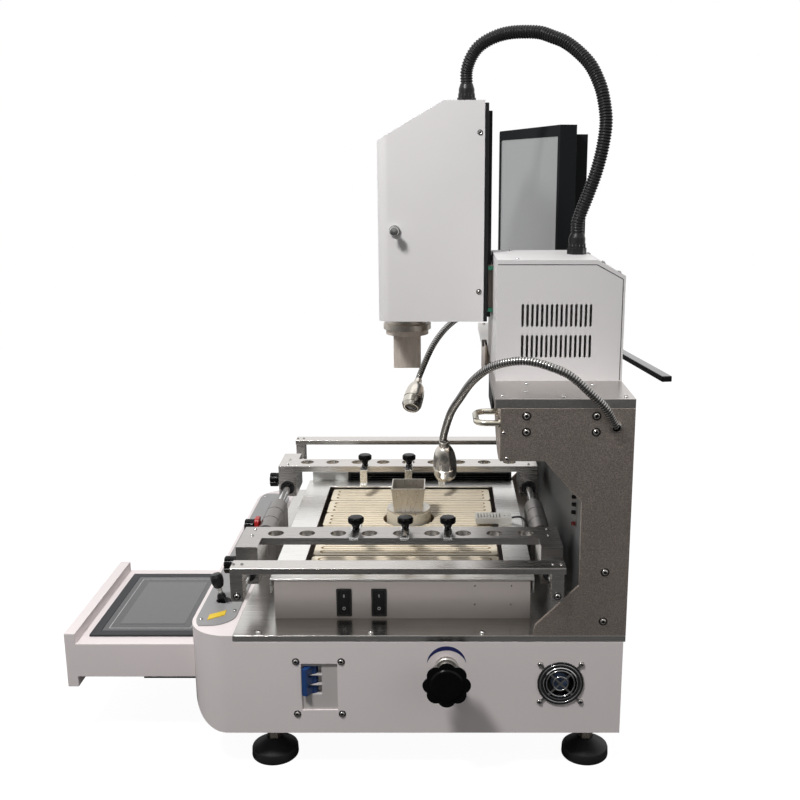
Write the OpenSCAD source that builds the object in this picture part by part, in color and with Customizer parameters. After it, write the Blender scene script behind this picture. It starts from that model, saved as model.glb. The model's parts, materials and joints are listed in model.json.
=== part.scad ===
// BGA rework station: a white base with a pull-out control drawer, a stainless C-shaped column,
// a hot-air head that slides up and down, an infrared preheater and a sliding board clamp.
// The operator stands at -X, +Z is up, and the origin is the middle of the base on the bench.

/* [Base] */
// Length of the base housing, front to back
base_l = 530; // [510:1:550]
// Distance of the base's back from the machine's middle
base_back = 262; // [258:1:266]
// Width of the base housing
base_w = 558; // [550:1:590]
// Height of the housing from its underside to the deck plate
base_h = 122; // [118:1:130]
// Clear height under the housing
foot_h = 53; // [48:1:60]
// Thickness of the housing sheet
sheet = 2.5; // [2:0.1:3]
// Radius of the two upright front corners
corner_r = 50; // [40:1:55]
// Radius of the rolled lower front edge
nose_r = 45; // [30:1:50]
// Length of the raised console strip at the front
console_l = 58.5; // [56:0.5:60]
// Thickness of the stainless deck plate
deck_t = 8; // [6:0.5:10]
// Overhang of the deck plate and column behind the housing
deck_over = 2.5; // [1:0.5:5]
// Diameter of a foot pad
pad_d = 60; // [50:1:66]
// Diameter of a foot stud
stud_d = 14; // [10:1:16]

/* [Base front panel] */
// Place of the breaker window along the base
breaker_x = -106; // [-112:1:-90]
// Height of the breaker's middle
breaker_z = 115; // [110:1:118]
// Width of the breaker window
breaker_w = 44; // [40:1:48]
// Height of the breaker window
breaker_h = 62; // [54:1:66]
// Depth of the breaker behind the panel
breaker_deep = 54; // [40:1:56]
// Place of the cooling fan along the base
fan_x = 187.5; // [184:0.5:200]
// Height of the fan's axis
fan_z = 120.5; // [116:0.5:124]
// Side of the square fan frame
fan_w = 60; // [56:1:64]
// Depth of the fan frame
fan_t = 25; // [20:1:30]
// Diameter of the fan's air duct
fan_bore = 55; // [50:1:56]
// Place of the lift knob along the base
knob_x = 48.8; // [46:0.1:56]
// Height of the lift knob's axis
knob_z = 142; // [138:1:146]
// Diameter over the lift knob's lobes
knob_d = 57; // [48:1:62]
// Length of the lift knob
knob_l = 28; // [22:1:32]
// Gap between the panel and the back of the lift knob
knob_off = 17; // [12:1:22]
// Diameter of the lift shaft
lift_d = 10; // [8:1:12]

/* [Drawer] */
// Width of the drawer front
drawer_w = 240; // [220:1:246]
// Height of the drawer front
front_h = 74; // [66:1:78]
// Thickness of the drawer front
front_t = 14; // [10:1:18]
// Length of the tray behind the front
tray_l = 166; // [160:1:180]
// Height of the tray
tray_h = 46; // [40:1:50]
// Distance from the housing to the back of the drawer front, pulled out
drawer_out = 157; // [120:1:160]
// Height of the tray's underside
tray_z = 93; // [90:1:98]
// Distance of the drawer from the near side of the base
drawer_in = 66; // [61:1:73]
// Length of the control screen's bezel
screen_l = 147; // [130:1:150]
// Width of the control screen's bezel
screen_w = 200; // [180:1:206]
// Width of a drawer runner
runner_w = 13; // [11:1:15]
// Height of a drawer runner
runner_h = 8; // [6:0.5:9]

/* [Column] */
// Length of the column
col_l = 160.5; // [155:0.5:168]
// Height of the column above the deck
col_h = 293; // [286:1:300]
// Thickness of the column's sheet
panel_t = 4; // [3:0.5:5]
// Depth of the top pan
pan_h = 11; // [9:1:14]
// How far the top pan stands forward of the side panels
pan_over = 6; // [4:1:8]
// Back of the throat in the side panels
throat_x = 206; // [200:1:212]
// Height of the arm's lower edge above the deck
arm_z = 219; // [210:1:224]
// Front of the side panels' feet
toe_x = 152; // [146:1:158]
// Radius of the arched apron
arch_r = 128; // [118:1:134]
// Distance of the grab handle's middle from the near side
handle_in = 34; // [29:1:44]
// Length of the grab handle
handle_l = 63; // [50:1:66]
// Diameter of the grab handle's rod
handle_d = 7; // [6:0.5:9]

/* [Motor box] */
// Length of the motor box
box_l = 155.5; // [150:0.5:160]
// Width of the motor box
box_w = 140; // [130:1:150]
// Height of the motor box
box_h = 148; // [140:1:160]
// Near side of the motor box
box_y0 = -182; // [-190:1:-178]
// Number of vent slots in a row
vents = 15; // [9:1:16]
// Pitch of the vent slots
vent_pitch = 5.9; // [5:0.1:6.4]
// Height of a vent slot
vent_h = 28; // [20:1:32]

/* [Head] */
// Place of the hot-air axis
axis_x = -5; // [-10:1:0]
// Length of the head cover
head_l = 136; // [125:1:140]
// Width of the head cover
head_w = 190; // [180:1:196]
// Height of the head cover
head_h = 277; // [260:1:290]
// Height of the head cover's underside
head_z = 536; // [530:1:545]
// Rear face of the head cover
head_x1 = 97; // [95:0.5:98]
// Fall of the sloped front of the cover
slope_h = 49; // [40:1:60]
// Length of the sloped front of the cover
slope_l = 85; // [70:1:95]
// Thickness of the head's back plate
back_t = 5; // [4:0.5:6]
// Depth of a head rail
rail_t = 5; // [4:0.5:6]
// Width of a head rail
rail_w = 20; // [16:1:24]
// Distance of the head rails from the middle
rail_y = 70; // [60:1:76]
// Side of the square hot-air nozzle
nozzle_w = 37; // [28:1:40]
// Length of the square hot-air nozzle
nozzle_l = 46; // [38:1:50]
// Diameter of the nozzle's flange
flange_d = 66; // [58:1:70]

/* [Preheater] */
// Length of the preheater case
pre_l = 318; // [300:1:322]
// Width of the preheater case
pre_w = 396; // [380:1:404]
// Height of the preheater case
pre_h = 51; // [46:1:56]
// Middle of the preheater across the machine
pre_y = -33; // [-38:1:-28]
// Overhang of the top frame on each side
pre_lip = 5; // [3:1:6]
// Length of the window in the top frame
win_l = 257; // [240:1:265]
// Width of the window in the top frame
win_w = 334; // [320:1:340]
// Width of a heater tile
tile_w = 52; // [48:1:53]
// Thickness of a heater tile
tile_t = 14; // [10:1:16]
// Diameter of the lower heater tube
tube_d = 64; // [58:1:66]
// Side of the lower nozzle's mouth
mouth_w = 48; // [42:1:50]
// Length of the lower nozzle
mouth_l = 38; // [30:1:42]
// Travel of the lower nozzle
lift = 25; // [10:1:25]

/* [Board frame] */
// Length of the frame's bars
bar_l = 395; // [390:1:396]
// Width of a bar
bar_w = 26; // [24:1:30]
// Thickness of a bar
bar_t = 7.5; // [6:0.5:9]
// Width of the frame over its bars
frame_w = 584; // [580:1:600]
// Height of the frame's top above the deck
frame_z = 92; // [90:1:96]
// Diameter of a guide shaft
shaft_d = 12; // [10:1:14]
// Spacing of the guide shafts
shaft_gap = 378; // [376:1:379]
// Depth of the shafts below the frame's top
shaft_drop = 35; // [33:1:36]
// Width of a clamp rail
clamp_w = 40; // [36:1:44]
// Thickness of a clamp rail
clamp_t = 9; // [7:0.5:10]
// Length of the lug at each end of a clamp rail
lug_l = 31; // [24:1:34]
// Width of a clamp rail's end block
block_w = 27; // [24:1:28]
// Height of a clamp rail's end block
block_h = 40; // [39:1:42]
// Diameter of the holes along a clamp rail
hole_d = 20; // [14:1:24]
// Pitch of the holes along a clamp rail
hole_pitch = 40; // [34:1:44]
// Inner edge of the near clamp rail
near_edge = -153; // [-160:1:-145]
// Inner edge of the far clamp rail
far_edge = 116; // [112:1:122]
// Diameter of a star knob
star_d = 22; // [18:1:24]

/* [Monitor] */
// Width of the monitor
mon_w = 350; // [320:1:360]
// Height of the monitor
mon_h = 270; // [240:1:280]
// Thickness of the monitor's panel
mon_t = 24; // [18:1:28]
// Thickness of the bulge on the monitor's back
bulge_t = 26; // [18:1:28]
// Turn of the monitor towards the near side
mon_yaw = 10.5; // [6:0.5:14]
// Height of the monitor's middle
mon_z = 653; // [645:1:670]

/* [Lamps and hose] */
// Diameter of a gooseneck
neck_d = 8; // [6:0.5:10]
// Diameter of a lamp head
lamp_d = 32; // [26:1:34]
// Diameter of the corrugated hose
hose_d = 17; // [12:1:18]

/* [Fits] */
// Radial clearance of a running fit
run = 0.05; // [0.02:0.01:0.1]
// Free gap between pieces that pass each other
gap = 0.5; // [0.3:0.1:1]

/* [Hidden] */
$fn = 64;

// Heights and faces of the base
front_x = base_back - base_l;
rear_x = base_back;
near_y = -base_w / 2;
seat_z = foot_h + base_h;
deck_z = seat_z + deck_t;
console_x1 = front_x + console_l;
col_x1 = rear_x + deck_over;
col_x0 = col_x1 - col_l;
panel_x0 = col_x0 + pan_over;
col_z1 = deck_z + col_h;
pan_z = col_z1 - pan_h;
handle_y = near_y + handle_in;
arm = deck_z + arm_z;
feet_x = [front_x + 98, rear_x - 36];
feet_y = base_w / 2 - 40;
flange = 22;

// Toggles of the breaker
toggle_x = breaker_x - 9.5;
toggle_z = breaker_z + 8;
pole = 13;
toggle_h = 9.6;

// Drawer
drawer_x = front_x - drawer_out;
drawer_y0 = near_y + drawer_in;
tray_x1 = drawer_x + tray_l;
drawer_y1 = drawer_y0 + drawer_w;
drawer_ym = (drawer_y0 + drawer_y1) / 2;
front_z = tray_z + tray_h / 2 - front_h / 2;
tray_wall = 4;
screen_x0 = drawer_x + 11;
screen_y0 = drawer_ym - screen_w / 2;
screen_lip = 6;
fit = 0.3;
runner_y = [drawer_y0 + 8, drawer_y1 - 8 - runner_w];
runner_z = tray_z - runner_h;
slide_wall = 1.5;

// Joystick on the console
joy_x = front_x + 29;
joy_y = near_y + 97;
joy_pivot = deck_z - 9;
joy_lean = 11;
joy_hole = 20;

// Preheater and lower heater
pre_x0 = axis_x - 1 - pre_l / 2;
pre_x1 = pre_x0 + pre_l;
pre_y0 = pre_y - pre_w / 2;
pre_y1 = pre_y + pre_w / 2;
case_z = deck_z + pre_h;
frame_t = 2;
pre_top = case_z + frame_t;
tile_top = pre_top - 4;
tile_gap = (win_w - 6 * tile_w) / 6;
tube_r = tube_d / 2;
tube_z0 = knob_z - 24;
tube_z1 = pre_top + 10;
sleeve_t = 3;
well_d = tube_d + 2 * sleeve_t + 4;
rack_w = 12;
rack_l = lift + 37;
pinion_teeth = 14;
pinion_r = knob_x - axis_x - tube_r - 8;
pitch_step = 2 * PI * pinion_r / pinion_teeth;

// Switches on the preheater's near side
rocker_x = [axis_x - 73.5, axis_x - 30];
rocker_w = 15.5;
rocker_h = 33;
rocker_z = deck_z + 21.5;
rocker_y = pre_y0 + 7;
rocker_pin = 1.5;

// Board frame and clamps
top_z = deck_z + frame_z;
shaft_x = [axis_x - 4.5 - shaft_gap / 2, axis_x - 4.5 + shaft_gap / 2];
shaft_z = top_z - shaft_drop;
shaft_r = shaft_d / 2;
bar_x0 = axis_x - 3.5 - bar_l / 2;
frame_y = frame_w / 2;
post_w = 15;
post_l = 20;
shaft_y = frame_y - post_l;
clamp_x0 = shaft_x[0] - block_w / 2;
clamp_x1 = shaft_x[1] + block_w / 2;
block_z = top_z - clamp_t - block_h;
counter_r = 11;
pillow_y0 = pre_y - 55;
pillow_l = 112;
near_finger_x = [-68, -4, 51];
far_finger_x = [-77, -8, 43];
finger_w = 11;
finger_t = 2;
slot_w = 5;
stem_d = 4.4;
star_t = 12;
star_stem = 6;
knob_gap = 8;

// Head
head_x0 = head_x1 - head_l;
head_y = head_w / 2;
head_z1 = head_z + head_h;
plate_x1 = head_x1 + back_t;
rail_x1 = plate_x1 + rail_t;
box_x0 = col_x1 - box_l + 0.5;
box_z1 = col_z1 + box_h;
box_y1 = box_y0 + box_w;
ring_h = 24;
ring_z = head_z - ring_h;
spigot_r = 22;
spigot_h = 12;
flange_t = 7;
nozzle_z = ring_z - flange_t - nozzle_l;
carriage_z = [col_z1 + 72, col_z1 + 133];
pull_x = head_x0 + 22;
pull_z = head_z + 117;
pull_r = 3;

// Monitor post
post_x = col_x1 - 25.5;
post_y = -near_y - 57;
post_r = 12;
collar_z = mon_z - 22;

// Optics box under the column's arm
optics_z1 = pan_z - 13;
optics_h = 50;
optics_w = 120;
optics_x0 = panel_x0 + 2;
optics_l = 148;
lens_x = optics_x0 + 15;
guide_w = 14;

// Points that the goosenecks follow from their grommets to their lamps
near_grommet = [col_x1 - 22.5, near_y, col_z1 - 32];
far_grommet = [col_x1 - 22.5, -near_y, col_z1 - 32];
near_lamp = [near_grommet + [-197, 132, -39], near_grommet + [-194, 151, -108]];
far_lamp = [far_grommet + [-236, -145, -41], far_grommet + [-247, -162, -87]];
near_neck = neck_path(near_grommet, [[0, 0, 0], [0, -4, 0], [-6, -9, 11], [-15, -15, 25], [-34, -19, 44],
    [-56, -20, 63], [-79, -18, 73], [-101, -13, 78], [-122, -5, 76], [-144, 11, 66], [-164, 36, 45],
    [-179, 68, 17], [-191, 106, -11]], near_lamp);
far_neck = neck_path(far_grommet, [[0, 0, 0], [0, 4, 0], [-6, 10, 8], [-18, 17, 19], [-38, 20, 33],
    [-62, 19, 46], [-87, 12, 55], [-112, -4, 60], [-135, -29, 61], [-156, -59, 58], [-175, -85, 51],
    [-192, -105, 40], [-208, -119, 22], [-220, -129, 1], [-229, -138, -21]], far_lamp);

// Points that the hose follows, up from the head's gland and down to the motor box's
gland_top = [head_x1 - 21, 0, head_z1 + 25];
gland_end = [box_x0 + 105.5, box_y0 + 81, box_z1 + 26];
hose_rise = [[0, 0, 0], [0, 0, 16], [4, -3, 30], [12, -6, 43], [23, -10, 52], [39, -16, 59], [55, -24, 62],
    [73, -33, 62], [92, -42, 60], [107, -51, 54], [122, -59, 47], [138, -69, 34], [152, -78, 18]];
hose_fall = [[22, 16, 188], [28, 10, 169], [32, 4, 139], [29, 1, 109], [22, 0, 78], [12, 0, 48], [3, 0, 24],
    [0, 0, 12], [0, 0, 0]];
hose_path = concat([for (p = hose_rise) gland_top + p], [for (p = hose_fall) gland_end + p]);

// A block between two corners
module block(low, high) {
    translate(low) cube(high - low);
}

// A cylinder whose axis runs along X, from x0 to x1
module rod_x(x0, x1, y, z, r) {
    translate([x0, y, z]) rotate([0, 90, 0]) cylinder(h = x1 - x0, r = r);
}

// A cylinder whose axis runs along Y, from y0 to y1
module rod_y(x, y0, y1, z, r) {
    translate([x, y0, z]) rotate([-90, 0, 0]) cylinder(h = y1 - y0, r = r);
}

// A cylinder whose axis runs along Z
module rod_z(x, y, z0, z1, r) {
    translate([x, y, z0]) cylinder(h = z1 - z0, r = r);
}

// An outline in X and Z, drawn out along Y
module side_extrude(y0, y1) {
    translate([0, y1, 0]) rotate([90, 0, 0]) linear_extrude(y1 - y0) children();
}

// An outline in Y and Z, drawn out along X
module front_extrude(x0, x1) {
    translate([x0, 0, 0]) rotate([90, 0, 90]) linear_extrude(x1 - x0) children();
}

// A rectangle with round corners, from its low corner
module round_rect(w, d, r) {
    translate([r, 0]) square([w - 2 * r, d]);
    translate([0, r]) square([w, d - 2 * r]);
    for (x = [r, w - r], y = [r, d - r]) translate([x, y]) circle(r);
}

// A slot with round ends along the first axis, about its middle
module slot2d(l, w) {
    square([l - w, w], center = true);
    for (s = [-1, 1]) translate([s * (l - w) / 2, 0]) circle(w / 2);
}

// Direction of a path at one of its points
function way(p, i) = let (a = p[max(i - 1, 0)], b = p[min(i + 1, len(p) - 1)]) (b - a) / norm(b - a);

// The two directions across a path at one of its points
function across(t) = let (u = cross(abs(t[1]) < 0.9 ? [0, 1, 0] : [1, 0, 0], t), a = u / norm(u))
    [a, cross(t, a)];

// A gooseneck's points, led straight into its lamp
function finger_x(out) = out > 0 ? far_finger_x : near_finger_x;

function neck_path(start, bends, lamp) = let (d = lamp[1] - lamp[0])
    concat([for (p = bends) start + p], [lamp[0] - 10 * d / norm(d), lamp[0]]);

// A tube of one diameter along a path, as one closed solid
module swept(path, d, sides = 10) {
    last = len(path) - 1;
    turn = 360 / sides;
    rings = [for (i = [0 : last]) let (a = across(way(path, i)))
        for (k = [0 : sides - 1]) path[i] + d / 2 * (cos(turn * k) * a[0] + sin(turn * k) * a[1])];
    walls = [for (i = [0 : last - 1], k = [0 : sides - 1]) let (n = (k + 1) % sides)
        [i * sides + k, (i + 1) * sides + k, (i + 1) * sides + n, i * sides + n]];
    ends = [[for (k = [0 : sides - 1]) k], [for (k = [sides - 1 : -1 : 0]) last * sides + k]];
    polyhedron(rings, concat(walls, ends), convexity = 6);
}

// Turns a shape that points up, so that it points from a to b
module aim(a, b) {
    d = b - a;
    translate(a) rotate([0, acos(d[2] / norm(d)), atan2(d[1], d[0])]) children();
}

// Base housing: folded sheet with a rolled nose, cut for the drawer, breaker, fan, knob and feet
module base_side(i) {
    x0 = front_x + i;
    r = nose_r - i;
    translate([x0 + r, foot_h + i]) square([rear_x - i - x0 - r, base_h - 2 * i]);
    translate([x0, foot_h + i + r]) square([rear_x - i - x0, base_h - 2 * i - r]);
    translate([x0 + r, foot_h + i + r]) circle(r);
    translate([x0, seat_z - sheet]) square([console_l - 2 * i, deck_t + sheet - i]);
}

module base_plan(i) {
    r = corner_r - i;
    w = base_w - 2 * i;
    translate([front_x + i + r, -w / 2]) square([base_l - 2 * i - r, w]);
    translate([front_x + i, r - w / 2]) square([r + 1, w - 2 * r]);
    for (s = [-1, 1]) translate([front_x + i + r, s * (w / 2 - r)]) circle(r);
}

module base_form(i) {
    intersection() {
        side_extrude(near_y, -near_y) base_side(i);
        translate([0, 0, foot_h]) linear_extrude(base_h + deck_t) base_plan(i);
    }
}

module base_housing() {
    slot_y0 = drawer_y0 - 3;
    slot_y1 = drawer_y1 + 3;
    color("whitesmoke") difference() {
        base_form(0);
        base_form(sheet);
        block([front_x - 1, slot_y0, runner_z - 3], [front_x + nose_r + 5, slot_y1, tray_z + tray_h + 5]);
        block([console_x1 + flange, near_y + flange, seat_z - sheet - 1],
            [rear_x - flange, -near_y - flange, seat_z + 1]);
        block([breaker_x - breaker_w / 2, near_y - 1, breaker_z - breaker_h / 2],
            [breaker_x + breaker_w / 2, near_y + sheet + 1, breaker_z + breaker_h / 2]);
        rod_y(fan_x, near_y - 1, near_y + sheet + 1, fan_z, fan_bore / 2);
        rod_y(knob_x, near_y - 1, near_y + sheet + 1, knob_z, lift_d / 2 + run);
        rod_z(joy_x, joy_y, deck_z - sheet - 1, deck_z + 1, joy_hole / 2 + 6);
        for (x = feet_x, s = [-1, 1]) rod_z(x, s * feet_y, foot_h - 1, foot_h + sheet + 1, stud_d / 2);
    }
}

// Deck plate: thick stainless plate with a well for the lower heater and its rack
module deck_plate() {
    color("lightgray") difference() {
        block([console_x1, near_y, seat_z], [col_x1, -near_y, deck_z]);
        rod_z(axis_x, 0, seat_z - 1, deck_z + 1, tube_r + 4);
        block([axis_x, -rack_w, seat_z - 1], [axis_x + tube_r + 12, rack_w, deck_z + 1]);
    }
}

// Console panel: grey overlay with a curved edge, and the lugs of the joystick's gimbal beneath
module console_panel() {
    margin = 5;
    bend = 30;
    x1 = console_x1 - margin;
    end_y = base_w / 2 - 26;
    panel_h = 1.5;
    lug_y = 12;
    color("slategray") {
        difference() {
            intersection() {
                translate([0, 0, deck_z]) linear_extrude(panel_h) base_plan(margin);
                translate([x1 - 3 * bend, -end_y, deck_z - 1]) linear_extrude(panel_h + 2)
                    round_rect(3 * bend, 2 * end_y, bend);
            }
            rod_z(joy_x, joy_y, deck_z - 1, deck_z + panel_h + 1, joy_hole / 2);
        }
        for (s = [-1, 1]) difference() {
            block([joy_x - 5, joy_y + s * lug_y - 2, joy_pivot - 5],
                [joy_x + 5, joy_y + s * lug_y + 2, deck_z + 0.2]);
            rod_y(joy_x, joy_y + s * lug_y - 3, joy_y + s * lug_y + 3, joy_pivot, 2 + run);
        }
    }
}

// Levelling feet: rubber pads with a conical top, on threaded studs with lock nuts
module levelling_feet() {
    rim_z = 21;
    cone_z = 35;
    collar_h = 3;
    pad_r = pad_d / 2;
    color("dimgray") for (x = feet_x, s = [-1, 1]) translate([x, s * feet_y, 0]) {
        rotate_extrude() polygon([[0, 0], [pad_r - 1, 0], [pad_r, 2], [pad_r - 0.5, rim_z],
            [pad_r - 3, rim_z + 2], [12, cone_z], [10, cone_z + collar_h], [0, cone_z + collar_h]]);
        translate([0, 0, cone_z]) cylinder(h = foot_h + 16 - cone_z, d = stud_d - 0.4);
        translate([0, 0, foot_h - 9]) cylinder(h = 9, d = stud_d + 10, $fn = 6);
    }
}

// Circuit breaker: moulded body behind the window, with slots for its three toggles
module breaker_body() {
    y0 = near_y + sheet;
    color("gainsboro") difference() {
        block([breaker_x - breaker_w / 2 - 4, y0, breaker_z - breaker_h / 2 - 2],
            [breaker_x + breaker_w / 2 + 4, y0 + breaker_deep, breaker_z + breaker_h / 2 + 2]);
        for (i = [-1 : 1]) block([toggle_x - 11, y0 - 1, toggle_z + i * pole - toggle_h / 2 - 1],
            [toggle_x + 12, y0 + 9, toggle_z + i * pole + toggle_h / 2 + 1]);
        rod_z(toggle_x, y0 + 9, toggle_z - pole - 8, toggle_z + pole + 8, 7);
    }
}

// Breaker lever: three linked toggles on one barrel
module breaker_lever() {
    y0 = near_y + sheet + 9;
    color("royalblue") translate([toggle_x, y0, 0]) rotate([0, 0, -28]) {
        rod_z(0, 0, toggle_z - pole - 7.5, toggle_z + pole + 7.5, 6.5);
        for (i = [-1 : 1]) block([-3.5, -18, toggle_z + i * pole - toggle_h / 2],
            [3.5, 0, toggle_z + i * pole + toggle_h / 2]);
        block([-3.5, -18, toggle_z - pole - toggle_h / 2], [3.5, -13, toggle_z + pole + toggle_h / 2]);
    }
}

// Cooling fan frame with struts and hub seat, and the ring guard outside the panel
module fan_frame() {
    y0 = near_y + sheet;
    hub_r = 12;
    color("silver") {
        difference() {
            block([fan_x - fan_w / 2, y0, fan_z - fan_w / 2],
                [fan_x + fan_w / 2, y0 + fan_t, fan_z + fan_w / 2]);
            rod_y(fan_x, y0 - 1, y0 + fan_t + 1, fan_z, fan_bore / 2);
        }
        difference() {
            union() {
                rod_y(fan_x, y0 + fan_t - 4, y0 + fan_t, fan_z, hub_r);
                for (a = [45, 135]) translate([fan_x, y0 + fan_t - 2, fan_z]) rotate([0, a, 0])
                    cube([fan_bore + 2, 4, 4], center = true);
            }
            rod_y(fan_x, y0 + fan_t - 5, y0 + fan_t + 1, fan_z, 2 + run);
        }
        for (r = [9, 17, 25]) translate([fan_x, near_y - 1.6, fan_z]) rotate([90, 0, 0])
            rotate_extrude() translate([r, 0]) circle(1, $fn = 16);
        for (a = [45, 135]) translate([fan_x, near_y - 0.9, fan_z]) rotate([0, a, 0])
            cube([fan_w + 10, 1.6, 2.6], center = true);
    }
}

// Fan rotor: hub with seven raked blades on a short spindle
module fan_rotor() {
    y0 = near_y + sheet;
    color("dimgray") {
        rod_y(fan_x, y0 + 3, y0 + fan_t - 5, fan_z, 12);
        rod_y(fan_x, y0 + fan_t - 6, y0 + fan_t - 0.5, fan_z, 2);
        for (k = [0 : 6]) translate([fan_x, y0 + fan_t / 2 - 1, fan_z]) rotate([0, k * 360 / 7, 0])
            rotate([35, 0, 0]) block([10, -1, -9], [fan_bore / 2 - 1.5, 1, 9]);
    }
}

// Lift knob: eight-lobed grip that narrows to its hub, on the lift shaft
module lift_knob() {
    y1 = near_y - knob_off;
    y0 = y1 - knob_l;
    lobes = 8;
    lobe_r = 11;
    grip_l = 17;
    knob_r = knob_d / 2;
    color("black") difference() {
        union() {
            rod_y(knob_x, y0 + grip_l - 1, y1, knob_z, 10);
            translate([knob_x, y0, knob_z]) rotate([-90, 0, 0]) {
                cylinder(h = grip_l, r1 = knob_r - 6, r2 = knob_r - 11);
                for (k = [0 : lobes - 1]) rotate(k * 360 / lobes) translate([knob_r - lobe_r, 0, 0])
                    cylinder(h = grip_l, r1 = lobe_r, r2 = 4);
                rotate_extrude() polygon([[0, -3], [12, -3], [18, -2], [21, 1], [0, 1]]);
            }
        }
        rod_y(knob_x, y0 + 4, y1 + 1, knob_z, lift_d / 2);
    }
}

// Lift shaft: rod from the knob to a pinion beside the lower heater
module lift_shaft() {
    color("silver") {
        rod_y(knob_x, near_y - knob_off - knob_l + 4, 14, knob_z, lift_d / 2);
        translate([knob_x, rack_w - 1, knob_z]) rotate([90, 0, 0]) linear_extrude(2 * rack_w - 2) {
            circle(pinion_r - 0.28 * pitch_step);
            for (k = [0 : pinion_teeth - 1]) rotate(180 + k * 360 / pinion_teeth)
                translate([pinion_r, 0]) scale(pitch_step)
                    polygon([[-0.3, -0.25], [0.2, -0.1], [0.2, 0.1], [-0.3, 0.25]]);
        }
    }
}

// Lower heater: hot-air tube with a rack down its side
module lower_heater() {
    rack_x = axis_x + tube_r;
    root_x = knob_x - pinion_r - 0.3 * pitch_step;
    teeth_up = floor((tube_z0 + rack_l - knob_z) / pitch_step - 1);
    color("silver") {
        difference() {
            rod_z(axis_x, 0, tube_z0, tube_z1, tube_r);
            rod_z(axis_x, 0, tube_z0 + 30, tube_z1 + 1, tube_r - 4);
        }
        side_extrude(1 - rack_w, rack_w - 1) {
            translate([rack_x - 6, tube_z0]) square([root_x - rack_x + 6, rack_l]);
            for (k = [-3 : teeth_up]) translate([knob_x - pinion_r, knob_z + (k + 0.5) * pitch_step])
                scale(pitch_step) polygon([[-0.32, -0.3], [0.2, -0.1], [0.2, 0.1], [-0.32, 0.3]]);
        }
    }
}

// Lower nozzle: square funnel of folded sheet on a round collar
module lower_nozzle() {
    z0 = tube_z1;
    wall = 1.5;
    foot_w = mouth_w - 7;
    color("silver") {
        difference() {
            rod_z(axis_x, 0, z0, z0 + 3, tube_r - 1);
            rod_z(axis_x, 0, z0 - 1, z0 + 4, foot_w / 2 - wall);
        }
        difference() {
            nozzle_funnel(foot_w, mouth_w, z0 + 2.5, z0 + mouth_l);
            nozzle_funnel(foot_w - 2 * wall, mouth_w - 2 * wall, z0 + 2.4, z0 + mouth_l + 0.1);
        }
    }
}

// A square funnel made of two crossed wedges
module nozzle_funnel(w0, w1, z0, z1) {
    outline = [[-w0 / 2, z0], [w0 / 2, z0], [w1 / 2, z1], [-w1 / 2, z1]];
    intersection() {
        translate([axis_x, 0, 0]) side_extrude(-w1, w1) polygon(outline);
        translate([axis_x, 0, 0]) front_extrude(-w1, w1) polygon(outline);
    }
}

// Drawer: thick front bar and a shallow tray
module drawer() {
    rim = tray_z + tray_h;
    color("whitesmoke") difference() {
        union() {
            block([drawer_x - front_t, drawer_y0, front_z], [drawer_x, drawer_y1, front_z + front_h]);
            block([drawer_x, drawer_y0, tray_z], [tray_x1, drawer_y1, rim]);
        }
        block([drawer_x + 3, drawer_y0 + tray_wall, tray_z + 3],
            [tray_x1 - tray_wall, drawer_y1 - tray_wall, rim - 3]);
        block([screen_x0 + screen_lip - fit, screen_y0 + screen_lip - fit, rim - 4],
            [screen_x0 + screen_l - screen_lip + fit, screen_y0 + screen_w - screen_lip + fit, rim + 1]);
    }
}

// Screen bezel: control panel that stands in the drawer's top
module screen_bezel() {
    rim = tray_z + tray_h;
    inset = 12;
    color("dimgray") difference() {
        union() {
            block([screen_x0, screen_y0, rim], [screen_x0 + screen_l, screen_y0 + screen_w, rim + 3]);
            block([screen_x0 + screen_lip, screen_y0 + screen_lip, tray_z + 3],
                [screen_x0 + screen_l - screen_lip, screen_y0 + screen_w - screen_lip, rim + 1]);
        }
        block([screen_x0 + inset, screen_y0 + inset, rim + 1.5],
            [screen_x0 + screen_l - inset, screen_y0 + screen_w - inset, rim + 4]);
    }
}

// Drawer runners: the inner members under the tray
module drawer_runners() {
    color("black") for (y = runner_y)
        block([drawer_x + 2, y + 3.5, runner_z + 2.5], [tray_x1 - 4, y + runner_w - 3.5, tray_z]);
}

// A channel of a telescopic slide, open at the top, with a wall on both sides
module channel(x0, x1, y, z, w, h) {
    difference() {
        block([x0, y, z], [x1, y + w, z + h]);
        block([x0 - 1, y + slide_wall, z + slide_wall], [x1 + 1, y + w - slide_wall, z + h + 1]);
    }
}

// Middle members of the drawer slides, which travel half as far as the drawer
module slide_middle() {
    color("black") for (y = runner_y) channel(front_x - drawer_out / 2 + 3, front_x - drawer_out / 2 + 153,
        y + 1.8, runner_z + 0.8, runner_w - 3.6, runner_h - 2.8);
}

// Fixed members of the drawer slides, on a shelf across the housing
module drawer_rails() {
    color("black") {
        for (y = runner_y) channel(front_x + 3, front_x + 175, y, runner_z - 1, runner_w, runner_h - 2);
        for (x = [front_x + nose_r + 5, front_x + 150], y = runner_y)
            block([x, y, foot_h + sheet], [x + 16, y + runner_w, runner_z - 1]);
    }
}

// Joystick: boot cap, stem and grip, leaning a little to the operator
module joystick() {
    color("black") translate([joy_x, joy_y, joy_pivot]) {
        rod_x(-7.5, 7.5, 0, 0, 1.5);
        rotate([0, -joy_lean, 0]) {
            rod_z(0, 0, -4, 32, 3);
            rotate_extrude() polygon([[0, 30], [5, 30], [6.5, 32], [8, 38], [8, 45], [6, 48.5], [0, 49]]);
            rotate_extrude() polygon([[0, 16], [6, 16], [4.5, 21], [0, 21]]);
        }
    }
}

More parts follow.
